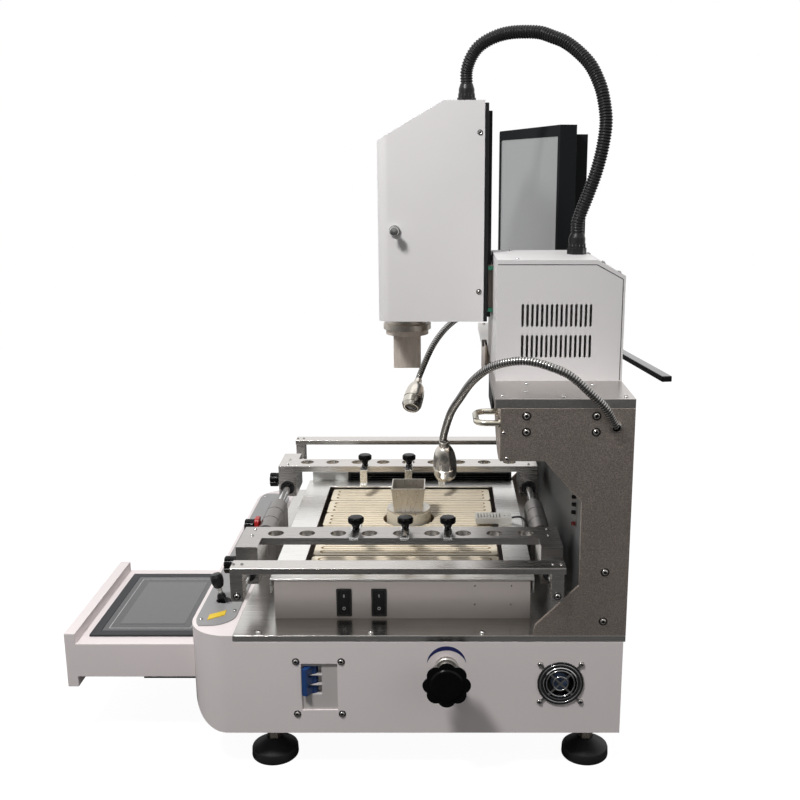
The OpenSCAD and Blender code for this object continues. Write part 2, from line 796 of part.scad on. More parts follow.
// Gimbal ring of the joystick, which turns on pins in the console's lugs
module joystick_yoke() {
    color("silver") translate([joy_x, joy_y, joy_pivot]) {
        difference() {
            block([-8, -9.5, -3.5], [8, 9.5, 3.5]);
            block([-5.8, -5.5, -5], [5.8, 5.5, 5]);
            rod_x(-9, 9, 0, 0, 1.5 + run);
        }
        for (s = [-1, 1]) rod_y(0, s > 0 ? 9 : -13.5, s > 0 ? 13.5 : -9, 0, 2);
    }
}

// Column side panel: C-shaped plate with a raked throat
module side_panel(y0) {
    back = throat_x;
    side_extrude(y0, y0 + panel_t) difference() {
        translate([panel_x0, deck_z]) square([col_x1 - panel_x0, pan_z - deck_z]);
        polygon([[panel_x0 - 1, arm], [back - 44, arm], [back, arm - 50], [back, deck_z + 65],
            [toe_x + 3, deck_z + 14], [toe_x, deck_z - 1], [panel_x0 - 1, deck_z - 1]]);
    }
}

module near_panel() {
    color("rosybrown") side_panel(near_y);
}

module far_panel() {
    color("rosybrown") side_panel(-near_y - panel_t);
}

// Column top: shallow pan, notched for the head, with two guide rails for the optics below
module column_top() {
    color("lightgray") {
        difference() {
            block([col_x0, near_y, pan_z], [col_x1, -near_y, col_z1]);
            block([col_x0 + panel_t, near_y + panel_t, pan_z - 1],
                [col_x1 - panel_t, -near_y - panel_t, col_z1 - 3]);
            block([col_x0 - 1, -head_y - 20, pan_z - 1], [panel_x0 + 1, head_y + 20, col_z1 + 1]);
        }
        for (s = [-1, 1]) difference() {
            block([panel_x0 + 4, s * (optics_w / 2 - 2) - guide_w / 2, optics_z1 - 10],
                [throat_x - 4, s * (optics_w / 2 - 2) + guide_w / 2, col_z1 - 3]);
            block([panel_x0 + 3, -optics_w / 2 - gap, optics_z1 - 5 - gap],
                [throat_x, optics_w / 2 + gap, optics_z1 + gap]);
            block([panel_x0 + 3, 8 - optics_w / 2 - gap, optics_z1 - 11],
                [throat_x, optics_w / 2 - 8 + gap, optics_z1]);
        }
    }
}

// Column core: folded channel that closes the back, with the dark wall inside the throat
module column_core() {
    y1 = -near_y - panel_t;
    color("dimgray") difference() {
        block([throat_x + 2, -y1, deck_z], [col_x1, y1, pan_z]);
        block([throat_x + 2 + sheet, -y1 - 1, deck_z + sheet], [col_x1 - sheet, y1 + 1, pan_z + 1]);
        block([throat_x, -optics_w / 2 - 15, arm - 4], [col_x1 - sheet, optics_w / 2 + 15, pan_z + 1]);
    }
}

// Apron: arched corner plates between the side panels, below the top pan
module apron() {
    y1 = -near_y - panel_t;
    color("rosybrown") for (s = [-1, 1]) intersection() {
        rod_x(panel_x0, panel_x0 + 3, s * (y1 - 36), pan_z + 59, arch_r);
        block([panel_x0, s > 0 ? 0 : -y1, deck_z], [panel_x0 + 3, s > 0 ? y1 : 0, pan_z]);
    }
}

// Grab handle: round rod bent to a U on the front of the column
module grab_handle() {
    z = col_z1 - 30;
    reach = 27;
    bend = 12;
    r = handle_d / 2;
    x1 = panel_x0 - reach;
    color("gainsboro") {
        for (s = [-1, 1]) {
            y = handle_y + s * (handle_l / 2 - r);
            rod_x(x1 + bend, panel_x0, y, z, r);
            rod_x(panel_x0 - 2, panel_x0, y, z, r + 3);
            translate([x1 + bend, y - s * bend, z]) rotate([0, 0, s > 0 ? 90 : 180])
                rotate_extrude(angle = 90) translate([bend, 0]) circle(r);
        }
        rod_y(x1, handle_y - handle_l / 2 + r + bend, handle_y + handle_l / 2 - r - bend, z, r);
    }
}

// Motor box: vented sheet cover on top of the column, chamfered behind
module motor_box() {
    chamfer = 34;
    row_x = box_x0 + 73 - vent_pitch * (vents - 1) / 2;
    color("whitesmoke") difference() {
        box_form(0, chamfer);
        box_form(sheet, chamfer);
        for (k = [0 : vents - 1], z = [col_z1 + 29, col_z1 + 67]) translate([row_x + k * vent_pitch, 0, 0])
            side_extrude(box_y0 - 1, box_y0 + sheet + 1)
                translate([0, z + vent_h / 2]) rotate(90) slot2d(vent_h, 3.2);
        rod_z(gland_end[0], gland_end[1], box_z1 - sheet - 1, box_z1 + 1, 8);
    }
}

module box_form(i, chamfer) {
    side_extrude(box_y0 + i, box_y1 - i) polygon([[box_x0 + i, col_z1 + i], [col_x1 - i, col_z1 + i],
        [col_x1 - i, box_z1 - 19 - i / 2], [col_x1 - chamfer - i / 2, box_z1 - i], [box_x0 + i, box_z1 - i]]);
}

// A hose gland: hexagon nut with a tapered sleeve, from its seat up to the hose
module gland(seat, z1) {
    h = z1 - seat[2];
    translate(seat) difference() {
        union() {
            cylinder(h = 8, r = hose_d / 2 + 4, $fn = 6);
            rotate_extrude() polygon([[0, 0], [hose_d / 2 + 2, 0], [hose_d / 2 + 2, h - 6], [hose_d / 2, h],
                [0, h]]);
        }
        translate([0, 0, -1]) cylinder(h = h - 3, r = 6);
    }
}

module box_gland() {
    color("black") gland([gland_end[0], gland_end[1], box_z1], gland_end[2]);
}

module head_gland() {
    color("black") gland([gland_top[0], gland_top[1], head_z1], gland_top[2]);
}

// Head guide: mast beside the motor box with a bridge plate and two carriages for the head's rails
module head_guide() {
    grip_x = plate_x1 + gap;
    bridge_x = rail_x1 + gap;
    color("dimgray") {
        block([bridge_x, -head_y, carriage_z[0]], [box_x0, head_y, carriage_z[1]]);
        for (s = [-1, 1], e = [-1, 1]) {
            y = s * rail_y + e * (rail_w / 2 + gap + 5);
            block([grip_x, y - 5, carriage_z[0]], [bridge_x + 0.1, y + 5, carriage_z[1]]);
        }
        difference() {
            block([box_x0, box_y1, col_z1], [box_x0 + 34, 30, carriage_z[1] + 8]);
            block([box_x0 + 3, box_y1 + 3, col_z1 + 3], [box_x0 + 40, 27, carriage_z[1] + 5]);
        }
    }
}

// Rear bar: straight black bar on two brackets behind the column, a little askew
module rear_bar() {
    z = col_z1 - 21;
    far_end = -near_y - 49;
    skew = 8.8;
    far_reach = 33.5;
    bar_l = 307;
    color("black") {
        translate([col_x1 + far_reach, far_end, z]) rotate([0, 0, skew - 90])
            block([0, -7, -4], [bar_l, 7, 4]);
        for (y = [far_end - 80, far_end - 15]) {
            block([col_x1, y, z - 4], [col_x1 + far_reach + (far_end - y - 12) * tan(skew), y + 12, z + 4]);
            block([col_x1, y - 8, z - 10], [col_x1 + 3, y + 20, z + 10]);
        }
    }
}

// Goosenecks of the two work lamps, each with its nut on the side panel
module lamp_necks() {
    color("silver") {
        swept(near_neck, neck_d);
        swept(far_neck, neck_d);
        for (s = [-1, 1]) rod_y(near_neck[0][0], s > 0 ? -near_y : near_y - 7, s > 0 ? -near_y + 7 : near_y,
            near_neck[0][2], neck_d / 2 + 3);
    }
}

// Lamp heads: turned bodies with cooling grooves and a recessed lens seat
module lamp(path) {
    l = norm(path[1] - path[0]);
    r = lamp_d / 2;
    aim(path[0], path[1]) rotate_extrude() polygon([[0, 0], [neck_d / 2 + 2, 0], [neck_d / 2 + 2, l * 0.2],
        [r * 0.62, l * 0.32], [r * 0.62, l * 0.42], [r, l * 0.56], [r, l * 0.68], [r - 1.5, l * 0.69],
        [r - 1.5, l * 0.72], [r, l * 0.73], [r, l], [r - 3, l], [r - 4, l - 3], [0, l - 3]]);
}

module lamp_heads() {
    color("silver") {
        lamp(near_lamp);
        lamp(far_lamp);
    }
}

// Monitor post: round post on a foot plate, with a collar under the swivel
module monitor_post() {
    color("black") {
        rod_z(post_x, post_y, col_z1, col_z1 + 6, 15);
        rod_z(post_x, post_y, col_z1 + 5, mon_z + 22, post_r);
        rod_z(post_x, post_y, collar_z - 8, collar_z, post_r + 3);
    }
}

// Monitor: thin panel with a raised frame, a vented bulge behind and a swivel arm
module monitor() {
    rim = 9;
    face = -66;
    color("black") translate([post_x, post_y, mon_z]) rotate([0, 0, mon_yaw]) difference() {
        union() {
            block([face, -mon_w / 2, -mon_h / 2], [face + mon_t, mon_w / 2, mon_h / 2]);
            block([face + mon_t - 1, 30 - mon_w / 2, 34 - mon_h / 2],
                [face + mon_t + bulge_t, mon_w / 2 - 30, mon_h / 2 - 12]);
            block([face + mon_t + bulge_t - 1, -14, -14], [-post_r, 14, 14]);
            rod_z(0, 0, -22, 16, post_r + 5);
        }
        block([face - 1, rim - mon_w / 2, rim + 6 - mon_h / 2],
            [face + 1.5, mon_w / 2 - rim, mon_h / 2 - rim]);
        rod_z(0, 0, -23, 17, post_r + run);
        for (k = [-9 : 9]) block([face + mon_t + bulge_t - 3, k * 12 - 3, mon_h / 2 - 44],
            [face + mon_t + bulge_t + 1, k * 12 + 3, mon_h / 2 - 24]);
    }
}

// Preheater case: white open-topped case with tile ledges, a guide sleeve and two switch windows
module preheater_case() {
    floor_z = deck_z + sheet;
    ledge_z = tile_top - tile_t;
    tile_x0 = axis_x - win_l / 2 + 3;
    tile_x1 = axis_x + win_l / 2 - 3;
    color("whitesmoke") {
        difference() {
            union() {
                difference() {
                    block([pre_x0, pre_y0, deck_z], [pre_x1, pre_y1, case_z]);
                    block([pre_x0 + sheet, pre_y0 + sheet, floor_z],
                        [pre_x1 - sheet, pre_y1 - sheet, case_z + 1]);
                }
                rod_z(axis_x, 0, deck_z, case_z - 20, tube_r + sleeve_t);
                for (x = [tile_x0, tile_x1 - 8])
                    block([x, pre_y0 + 1, floor_z - 1], [x + 8, pre_y1 - 1, ledge_z]);
            }
            rod_z(axis_x, 0, deck_z - 1, case_z, tube_r + run);
            for (x = rocker_x) block([x - rocker_w / 2, pre_y0 - 1, rocker_z - rocker_h / 2],
                [x + rocker_w / 2, pre_y0 + sheet + 1, rocker_z + rocker_h / 2]);
        }
        for (x = rocker_x, s = [-1, 1]) difference() {
            block([x + s * (rocker_w / 2 + 1.5) - 1.5, pre_y0 + sheet - 0.1, rocker_z - 6],
                [x + s * (rocker_w / 2 + 1.5) + 1.5, pre_y0 + 12, rocker_z + 6]);
            rod_x(x - rocker_w, x + rocker_w, rocker_y, rocker_z, rocker_pin + run);
        }
    }
}

// A rocker switch key with its two faces, on a cross pin
module rocker(x) {
    w = rocker_w / 2 - 0.4;
    color("black") translate([x, rocker_y, rocker_z]) rotate([-5, 0, 0]) {
        front_extrude(-w, w) polygon([[-4.6, 14.6], [-9.2, 15.2], [-7.6, 0], [-9.2, -15.2], [-4.6, -14.6],
            [3.5, -4], [3.5, 4]]);
        rod_x(-w - 2.4, w + 2.4, 0, 0, rocker_pin);
    }
}

module left_rocker() {
    rocker(rocker_x[0]);
}

module right_rocker() {
    rocker(rocker_x[1]);
}

// Preheater top frame: stainless frame with turned-down sides round the heater window
module preheater_frame() {
    x0 = pre_x0 - pre_lip;
    x1 = pre_x1 + pre_lip;
    skirt = 18;
    win_x0 = axis_x - win_l / 2;
    win_y0 = pre_y - win_w / 2;
    color("lightgray") difference() {
        block([x0, pre_y0 - 1, pre_top - skirt], [x1, pre_y1 + 1, pre_top]);
        block([x0 + frame_t, pre_y0 - 2, pre_top - skirt - 1], [x1 - frame_t, pre_y1 + 2, case_z]);
        block([win_x0, win_y0, case_z - 1], [win_x0 + win_l, win_y0 + win_w, pre_top + 1]);
    }
}

// Heater tiles: six ceramic rows with looped grooves, cut away round the lower heater
module heater_tiles() {
    l = win_l - 12;
    color("oldlace") for (k = [0 : 5]) {
        y = pre_y - win_w / 2 + (k + 0.5) * (tile_w + tile_gap);
        difference() {
            translate([axis_x - l / 2, y - tile_w / 2, tile_top - tile_t])
                linear_extrude(tile_t) round_rect(l, tile_w, 5);
            for (i = [-1 : 1]) translate([axis_x, y + i * 15, tile_top - 1.6])
                linear_extrude(3) difference() {
                    slot2d(l - 16, 11);
                    slot2d(l - 22, 5);
                }
            rod_z(axis_x, 0, tile_top - tile_t - 1, tile_top + 1, well_d / 2);
        }
    }
}

// Cooling fan: cross-flow blower behind the preheater, with a louvred mouth
module cooling_fan() {
    y0 = pre_y1 + 2;
    y1 = y0 + 38;
    z1 = top_z - 26;
    motor_x = pre_x0 + 57;
    color("dimgray") {
        block([pre_x0, y0, deck_z], [motor_x, y1, z1]);
        difference() {
            block([motor_x, y0, deck_z], [pre_x1 + 3, y1, z1]);
            block([motor_x + 4, y0 - 1, case_z], [pre_x1 - 1, y0 + 14, z1 - 3]);
        }
        for (z = [case_z + 3, case_z + 7]) block([motor_x + 3, y0 + 2, z], [pre_x1, y0 + 15, z + 1.5]);
    }
}

// Sensor block: slotted bar on the edge of the top frame, with two holes at its end
module sensor_block() {
    x0 = axis_x + win_l / 2 - 32;
    x1 = pre_x1 + pre_lip - 15;
    y0 = -36;
    w = 26;
    h = 8;
    color("gainsboro") difference() {
        block([x0, y0, pre_top], [x1, y0 + w, pre_top + h]);
        for (x = [x0 + 3 : 4.4 : x1 - 16])
            block([x, y0 + 4, pre_top + 3], [x + 2.2, y0 + w - 4, pre_top + h + 1]);
        for (x = [x1 - 10, x1 - 4]) rod_z(x, y0 + w / 2, pre_top + 2, pre_top + h + 1, 1.6);
    }
}

// Pillow blocks: bearing housings on both sides, which carry the shafts of the board frame
module pillow_blocks() {
    r = block_w / 2;
    y1 = pillow_y0 + pillow_l;
    color("gainsboro") for (x = shaft_x) difference() {
        union() {
            block([x - r, pillow_y0, deck_z], [x + r, y1, shaft_z]);
            rod_y(x, pillow_y0, y1, shaft_z, r);
        }
        rod_y(x, pillow_y0 - 1, y1 + 1, shaft_z, shaft_r + run);
        for (y = [pillow_y0 - 1, y1 - 6]) rod_y(x, y, y + 7, shaft_z, shaft_r + 2);
        for (y = [pillow_y0 + 36, y1 - 38]) difference() {
            block([x - r - 1, y, deck_z + 20], [x + r + 1, y + 2, shaft_z + r + 1]);
            block([x - r + 1.2, y - 1, deck_z], [x + r - 1.2, y + 3, shaft_z]);
            rod_y(x, y - 1, y + 3, shaft_z, r - 1.2);
        }
        if (x < 0) rod_x(x - r - 1, x - r + 8, pillow_y0 + 30, shaft_z, star_stem / 2 + run);
    }
}

// Board frame: near and far bars, each with two posts that hold the shafts
module frame_bars() {
    color("gainsboro") for (s = [-1, 1]) {
        y0 = s > 0 ? frame_y - bar_w : -frame_y;
        block([bar_x0, y0, top_z - bar_t], [bar_x0 + bar_l, y0 + bar_w, top_z]);
        for (x = shaft_x) {
            p0 = s > 0 ? frame_y - post_l : -frame_y;
            block([x - post_w / 2, p0, shaft_z - 7], [x + post_w / 2, p0 + post_l, top_z - bar_t]);
        }
    }
}

module guide_shafts() {
    color("silver") for (x = shaft_x) rod_y(x, -shaft_y, shaft_y, shaft_z, shaft_r);
}

// A clamp rail: bored strip with a lug and a bearing block at each end; out is the outer side
module clamp_rail(edge, out) {
    y0 = out > 0 ? edge : edge - clamp_w - lug_l;
    y1 = y0 + clamp_w + lug_l;
    strip_y0 = out > 0 ? edge : edge - clamp_w;
    hole_y = edge + out * (clamp_w / 2 + 3);
    color("gainsboro") difference() {
        union() {
            block([clamp_x0, strip_y0, top_z - clamp_t], [clamp_x1, strip_y0 + clamp_w, top_z]);
            for (x = shaft_x) block([x - block_w / 2, y0, block_z], [x + block_w / 2, y1, top_z]);
        }
        for (x = shaft_x) {
            rod_y(x, y0 - 1, y1 + 1, shaft_z, shaft_r + run);
            for (y = [y0 - 1, y1 - 9]) rod_y(x, y, y + 10, shaft_z, counter_r);
        }
        for (k = [-4 : 4])
            rod_z(axis_x - 4.5 + k * hole_pitch, hole_y, top_z - clamp_t - 1, top_z + 1, hole_d / 2);
        for (x = finger_x(out)) rod_z(x, edge + out * 8, top_z - clamp_t - 1, top_z + 1, stem_d / 2 + run);
        rod_x(clamp_x0 - 1, clamp_x0 + 7, edge + out * 42, shaft_z, star_stem / 2 + run);
    }
}

// Clamp fingers: slotted strips that reach over the board's edge, with a stepped foot
module fingers(edge, out) {
    tail = clamp_w + 8;
    tip = 27;
    foot_drop = 22;
    flip = out > 0 ? 0 : 1;
    color("silver") for (x = finger_x(out)) translate([x, edge, top_z]) mirror([0, flip, 0]) difference() {
        union() {
            block([-finger_w / 2, -tip, 0], [finger_w / 2, tail, finger_t]);
            block([-finger_w / 2, -tip, -foot_drop], [finger_w / 2, finger_t - tip, finger_t]);
            block([-finger_w / 2, -tip - 5, -foot_drop], [finger_w / 2, 0.1 - tip, finger_t - foot_drop]);
        }
        translate([0, tail / 2 - 6, -1]) linear_extrude(finger_t + 2) rotate(90) slot2d(tail + 2, slot_w);
    }
}

// Thumbscrews: black fluted heads on stems that hold the fingers down
module thumbscrews(edge, out) {
    head_r = 10.5;
    flute_r = 2.4;
    color("black") for (x = finger_x(out)) translate([x, edge + out * 8, top_z]) {
        translate([0, 0, -clamp_t]) cylinder(h = clamp_t + 6, d = stem_d);
        translate([0, 0, finger_t]) cylinder(h = 3, r = 4.5);
        difference() {
            rotate_extrude() polygon([[0, 4], [5, 4], [6, 7], [head_r - 1, 9], [head_r, 10.5], [head_r, 15],
                [head_r - 2, 17], [0, 17.5]]);
            for (k = [0 : 7]) rotate(k * 45) translate([head_r + 1.2, 0, 6]) cylinder(h = 13, r = flute_r);
        }
    }
}

module near_clamp_rail() {
    clamp_rail(near_edge, -1);
}

module near_fingers() {
    fingers(near_edge, -1);
}

module near_thumbscrews() {
    thumbscrews(near_edge, -1);
}

module far_clamp_rail() {
    clamp_rail(far_edge, 1);
}

module far_fingers() {
    fingers(far_edge, 1);
}

module far_thumbscrews() {
    thumbscrews(far_edge, 1);
}

// A star knob with six flutes on a stem along X
module star_knob(x1, y, z) {
    color("black") difference() {
        union() {
            rod_x(x1 - knob_gap - star_t, x1 - knob_gap, y, z, star_d / 2);
            rod_x(x1 - knob_gap - 1, x1 - knob_gap + 3, y, z, 5);
            rod_x(x1 - knob_gap, x1 + 6, y, z, star_stem / 2);
        }
        for (k = [0 : 7]) translate([0, y, z]) rotate([k * 45, 0, 0])
            rod_x(x1 - knob_gap - star_t - 1, x1 - knob_gap - 3, star_d / 2 + 1.2, 0, 2.6);
    }
}

module near_clamp_knob() {
    star_knob(clamp_x0, near_edge - 42, shaft_z);
}

module far_clamp_knob() {
    star_knob(clamp_x0, far_edge + 42, shaft_z);
}

module frame_lock_knob() {
    star_knob(clamp_x0, pillow_y0 + 30, shaft_z);
}

// Head back plate with its two upright rails
module head_back_plate() {
    z0 = head_z + 4;
    z1 = head_z1 - 12;
    color("black") {
        block([head_x1, -head_y, head_z], [plate_x1, head_y, head_z1 - 3]);
        for (y = [-rail_y, rail_y]) block([plate_x1, y - rail_w / 2, z0], [rail_x1, y + rail_w / 2, z1]);
    }
}

// Head cover: white folded cover with a sloped front and rounded front edges
module head_form(i) {
    r = 15 - i;
    intersection() {
        side_extrude(i - head_y, head_y - i) polygon([[head_x0 + i, head_z + i], [head_x1 + i, head_z + i],
            [head_x1 + i, head_z1 - i], [head_x0 + slope_l + i / 2, head_z1 - i],
            [head_x0 + i, head_z1 - slope_h - i / 2]]);
        translate([head_x0 + i, i - head_y, head_z]) linear_extrude(head_h) union() {
            translate([r, 0]) square([head_l, head_w - 2 * i]);
            translate([0, r]) square([r + 1, head_w - 2 * i - 2 * r]);
            for (y = [r, head_w - 2 * i - r]) translate([r, y]) circle(r);
        }
    }
}

module head_cover() {
    color("whitesmoke") difference() {
        head_form(0);
        head_form(sheet);
        rod_z(axis_x, 0, head_z - 1, head_z + sheet + 1, 20);
        rod_z(gland_top[0], gland_top[1], head_z1 - sheet - 1, head_z1 + 1, 8);
        rod_y(pull_x, -head_y - 1, -head_y + sheet + 1, pull_z, pull_r + run);
    }
}

// Head knob: small turned knob on the side of the cover, with its stem through the sheet
module head_knob() {
    color("silver") translate([pull_x, -head_y, pull_z]) rotate([90, 0, 0]) rotate_extrude()
        polygon([[0, -sheet - 3], [pull_r, -sheet - 3], [pull_r, gap], [7, gap], [7, 3], [3, 4], [3, 12],
            [5, 13.5], [6, 16], [5, 19], [0, 20]]);
}

// Nozzle ring: stepped socket under the head for the hot-air nozzle
module nozzle_ring() {
    color("silver") difference() {
        union() {
            rod_z(axis_x, 0, ring_z, ring_z + 8, flange_d / 2);
            rod_z(axis_x, 0, ring_z + 7, head_z, flange_d / 2 - 7);
        }
        rod_z(axis_x, 0, ring_z - 1, ring_z + spigot_h, spigot_r + run);
        rod_z(axis_x, 0, ring_z, head_z + 1, 17);
    }
}

// Upper nozzle: round flange and spigot with a square hot-air mouth
module upper_nozzle() {
    wall = 1.5;
    half = nozzle_w / 2;
    z1 = ring_z - 0.3;
    color("silver") difference() {
        union() {
            rod_z(axis_x, 0, z1 - flange_t, z1, flange_d / 2 - 3.5);
            rod_z(axis_x, 0, z1 - 1, ring_z + spigot_h - 0.5, spigot_r);
            block([axis_x - half, -half, nozzle_z], [axis_x + half, half, z1 - flange_t + 1]);
        }
        block([axis_x - half + wall, wall - half, nozzle_z - 1],
            [axis_x + half - wall, half - wall, z1 - flange_t]);
        rod_z(axis_x, 0, z1 - flange_t - 1, ring_z + spigot_h + 1, half - wall - 1);
    }
}

// Hose: corrugated hose from the head to the motor box, shown as its outer tube
module hose() {
    color("black") swept(hose_path, hose_d, 10);
}

// Optics box: alignment camera on a flanged box that slides out under the nozzle
module optics_box() {
    y = optics_w / 2;
    lens_r = 12;
    color("black") difference() {
        union() {
            block([optics_x0, -y, optics_z1 - 5], [optics_x0 + optics_l, y, optics_z1]);
            block([optics_x0, 9 - y, optics_z1 - optics_h], [optics_x0 + optics_l, y - 9, optics_z1 - 4]);
        }
        rod_z(lens_x, 0, optics_z1 - 3, optics_z1 + 1, lens_r);
        rod_z(lens_x, 0, optics_z1 - optics_h - 1, optics_z1 - optics_h + 3, lens_r);
    }
}

base_housing();
deck_plate();
console_panel();
levelling_feet();
breaker_body();
fan_frame();
drawer_rails();
near_panel();
far_panel();
column_top();
column_core();
apron();
grab_handle();
motor_box();
box_gland();
head_guide();
rear_bar();
lamp_necks();
lamp_heads();
monitor_post();
preheater_case();
preheater_frame();
heater_tiles();
cooling_fan();
sensor_block();
pillow_blocks();
frame_bars();
guide_shafts();
near_clamp_rail();
near_fingers();
near_thumbscrews();
far_clamp_rail();
far_fingers();
far_thumbscrews();
near_clamp_knob();
far_clamp_knob();
frame_lock_knob();
head_back_plate();
head_cover();
head_gland();
nozzle_ring();
head_knob();
upper_nozzle();
lift_knob();
lift_shaft();
lower_heater();
lower_nozzle();
breaker_lever();
fan_rotor();
drawer();
screen_bezel();
drawer_runners();
slide_middle();
joystick();
joystick_yoke();
left_rocker();
right_rocker();
hose();
optics_box();
monitor();
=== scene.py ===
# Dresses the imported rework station: every solid gets its finish, and the trim, screws and hose are added.
# The frame is in metres; sizes here are in millimetres and are multiplied by MM.
import json
import math

import bmesh
import bpy
from mathutils import Matrix, Vector
from mathutils.bvhtree import BVHTree


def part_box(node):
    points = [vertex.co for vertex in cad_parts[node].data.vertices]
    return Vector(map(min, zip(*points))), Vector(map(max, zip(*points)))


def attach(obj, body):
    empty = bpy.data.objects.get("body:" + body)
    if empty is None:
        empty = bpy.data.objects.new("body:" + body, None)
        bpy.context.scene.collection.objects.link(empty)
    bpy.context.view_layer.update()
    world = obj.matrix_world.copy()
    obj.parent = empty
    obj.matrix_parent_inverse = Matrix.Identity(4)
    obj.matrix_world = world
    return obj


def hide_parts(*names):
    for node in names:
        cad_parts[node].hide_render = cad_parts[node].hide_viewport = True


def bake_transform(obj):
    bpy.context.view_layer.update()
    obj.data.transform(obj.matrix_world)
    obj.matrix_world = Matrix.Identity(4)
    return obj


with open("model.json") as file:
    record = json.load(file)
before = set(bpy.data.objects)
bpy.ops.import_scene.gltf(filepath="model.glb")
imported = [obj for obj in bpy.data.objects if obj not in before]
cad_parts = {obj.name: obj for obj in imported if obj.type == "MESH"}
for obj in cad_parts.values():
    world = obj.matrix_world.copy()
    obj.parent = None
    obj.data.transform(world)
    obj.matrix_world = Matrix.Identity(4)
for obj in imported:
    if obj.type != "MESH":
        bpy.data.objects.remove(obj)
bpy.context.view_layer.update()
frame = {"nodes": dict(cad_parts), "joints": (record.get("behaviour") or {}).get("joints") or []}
nodes = frame["nodes"]
MM = 0.001


# Studio: the machine stands on a pale sweep under a wide softbox, with a key lamp from the upper left.
# The room is bright behind and above the machine and dimmer behind the photographer.
scene = bpy.context.scene
scene.view_settings.view_transform = "Standard"

camera_tilt = 13.303
camera = bpy.data.objects.new("studio_camera", bpy.data.cameras.new("studio_camera"))
camera.location = (0.0421, -1.403, 0.7406)
camera.rotation_euler = (math.radians(90 - camera_tilt), 0, 0)
camera.data.lens = 45.675
camera.data.sensor_width = 36
camera.data.shift_x = -0.05125
scene.collection.objects.link(camera)
scene.camera = camera


def softbox(name, place, target, size, watts):
    """A rectangular lamp turned towards a target, with its places in metres."""
    lamp = bpy.data.lights.new(name, "AREA")
    lamp.shape = "RECTANGLE"
    lamp.size, lamp.size_y = size
    lamp.energy = watts
    holder = bpy.data.objects.new(name, lamp)
    holder.location = place
    holder.rotation_euler = (Vector(target) - Vector(place)).to_track_quat("-Z", "Y").to_euler()
    scene.collection.objects.link(holder)


def set_inputs(node, values):
    """Sets a shader node's own values and returns the node."""
    for socket, value in values.items():
        node.inputs[socket].default_value = value
    return node


def map_range(tree, low, high, to_low, to_high):
    """A shader node that turns one range of values into another."""
    return set_inputs(tree.new("ShaderNodeMapRange"),
                      {"From Min": low, "From Max": high, "To Min": to_low, "To Max": to_high})


def join(links, wires):
    """Joins shader nodes: a wire is (node, its output, next node, its input)."""
    for source, output, target, socket in wires:
        links.new(source.outputs[output], target.inputs[socket])


softbox("top_softbox", (0.05, 0.2, 2.3), (0.05, 0.15, 0.3), (2.0, 1.8), 6.5)
softbox("key_softbox", (-0.55, -0.95, 1.65), (0.05, -0.1, 0.5), (0.24, 0.24), 21)
softbox("fill_softbox", (1.5, -1.7, 1.1), (0.1, 0, 0.5), (1.0, 1.0), 2)

room = bpy.data.worlds.new("studio_room")
room.use_nodes = True
scene.world = room
room_nodes, room_links = room.node_tree.nodes, room.node_tree.links
way = room_nodes.new("ShaderNodeTexCoord")
facing = room_nodes.new("ShaderNodeVectorMath")
facing.operation = "DOT_PRODUCT"
facing.inputs[1].default_value = (0, 0.75, 0.66)
fade = map_range(room_nodes, -0.75, 0.35, 0.08, 0.95)
seen = room_nodes.new("ShaderNodeLightPath")
mirrored = map_range(room_nodes, 0, 1, 0.42, 1.12)
shared = room_nodes.new("ShaderNodeMath")
shared.operation = "MULTIPLY"
level = set_inputs(room_nodes.new("ShaderNodeMix"), {"B": 1.0})
walls = set_inputs(room_nodes["Background"], {"Color": (1, 1, 1, 1)})
join(room_links, [
    (way, "Generated", facing, 0), (facing, "Value", fade, "Value"),
    (seen, "Is Glossy Ray", mirrored, "Value"), (mirrored, "Result", shared, 0), (fade, "Result", shared, 1),
    (shared, "Value", level, "A"), (seen, "Is Camera Ray", level, "Factor"),
    (level, "Result", walls, "Strength")])

floor_x, floor_y = (-2.2, 2.4), (-0.7, 2.6)
floor_corners = [(floor_x[i], floor_y[j], 0) for i, j in ((0, 0), (1, 0), (1, 1), (0, 1))]
floor_mesh = bpy.data.meshes.new("studio_floor")
floor_mesh.from_pydata(floor_corners, [], [(0, 1, 2, 3)])
floor = bpy.data.objects.new("studio_floor", floor_mesh)
scene.collection.objects.link(floor)
paper = bpy.data.materials.new("floor_paper")
paper.use_nodes = True
paper_nodes, paper_links = paper.node_tree.nodes, paper.node_tree.links
paper_skin = set_inputs(paper_nodes["Principled BSDF"], {
    "Base Color": (0.10, 0.10, 0.10, 1), "Roughness": 0.9, "Emission Color": (1, 1, 1, 1)})
paper_seen = paper_nodes.new("ShaderNodeLightPath")
paper_glow = paper_nodes.new("ShaderNodeMath")
paper_glow.operation = "MULTIPLY"
paper_glow.inputs[1].default_value = 0.955
join(paper_links, [(paper_seen, "Is Camera Ray", paper_glow, 0),
                   (paper_glow, "Value", paper_skin, "Emission Strength")])
floor.data.materials.append(paper)


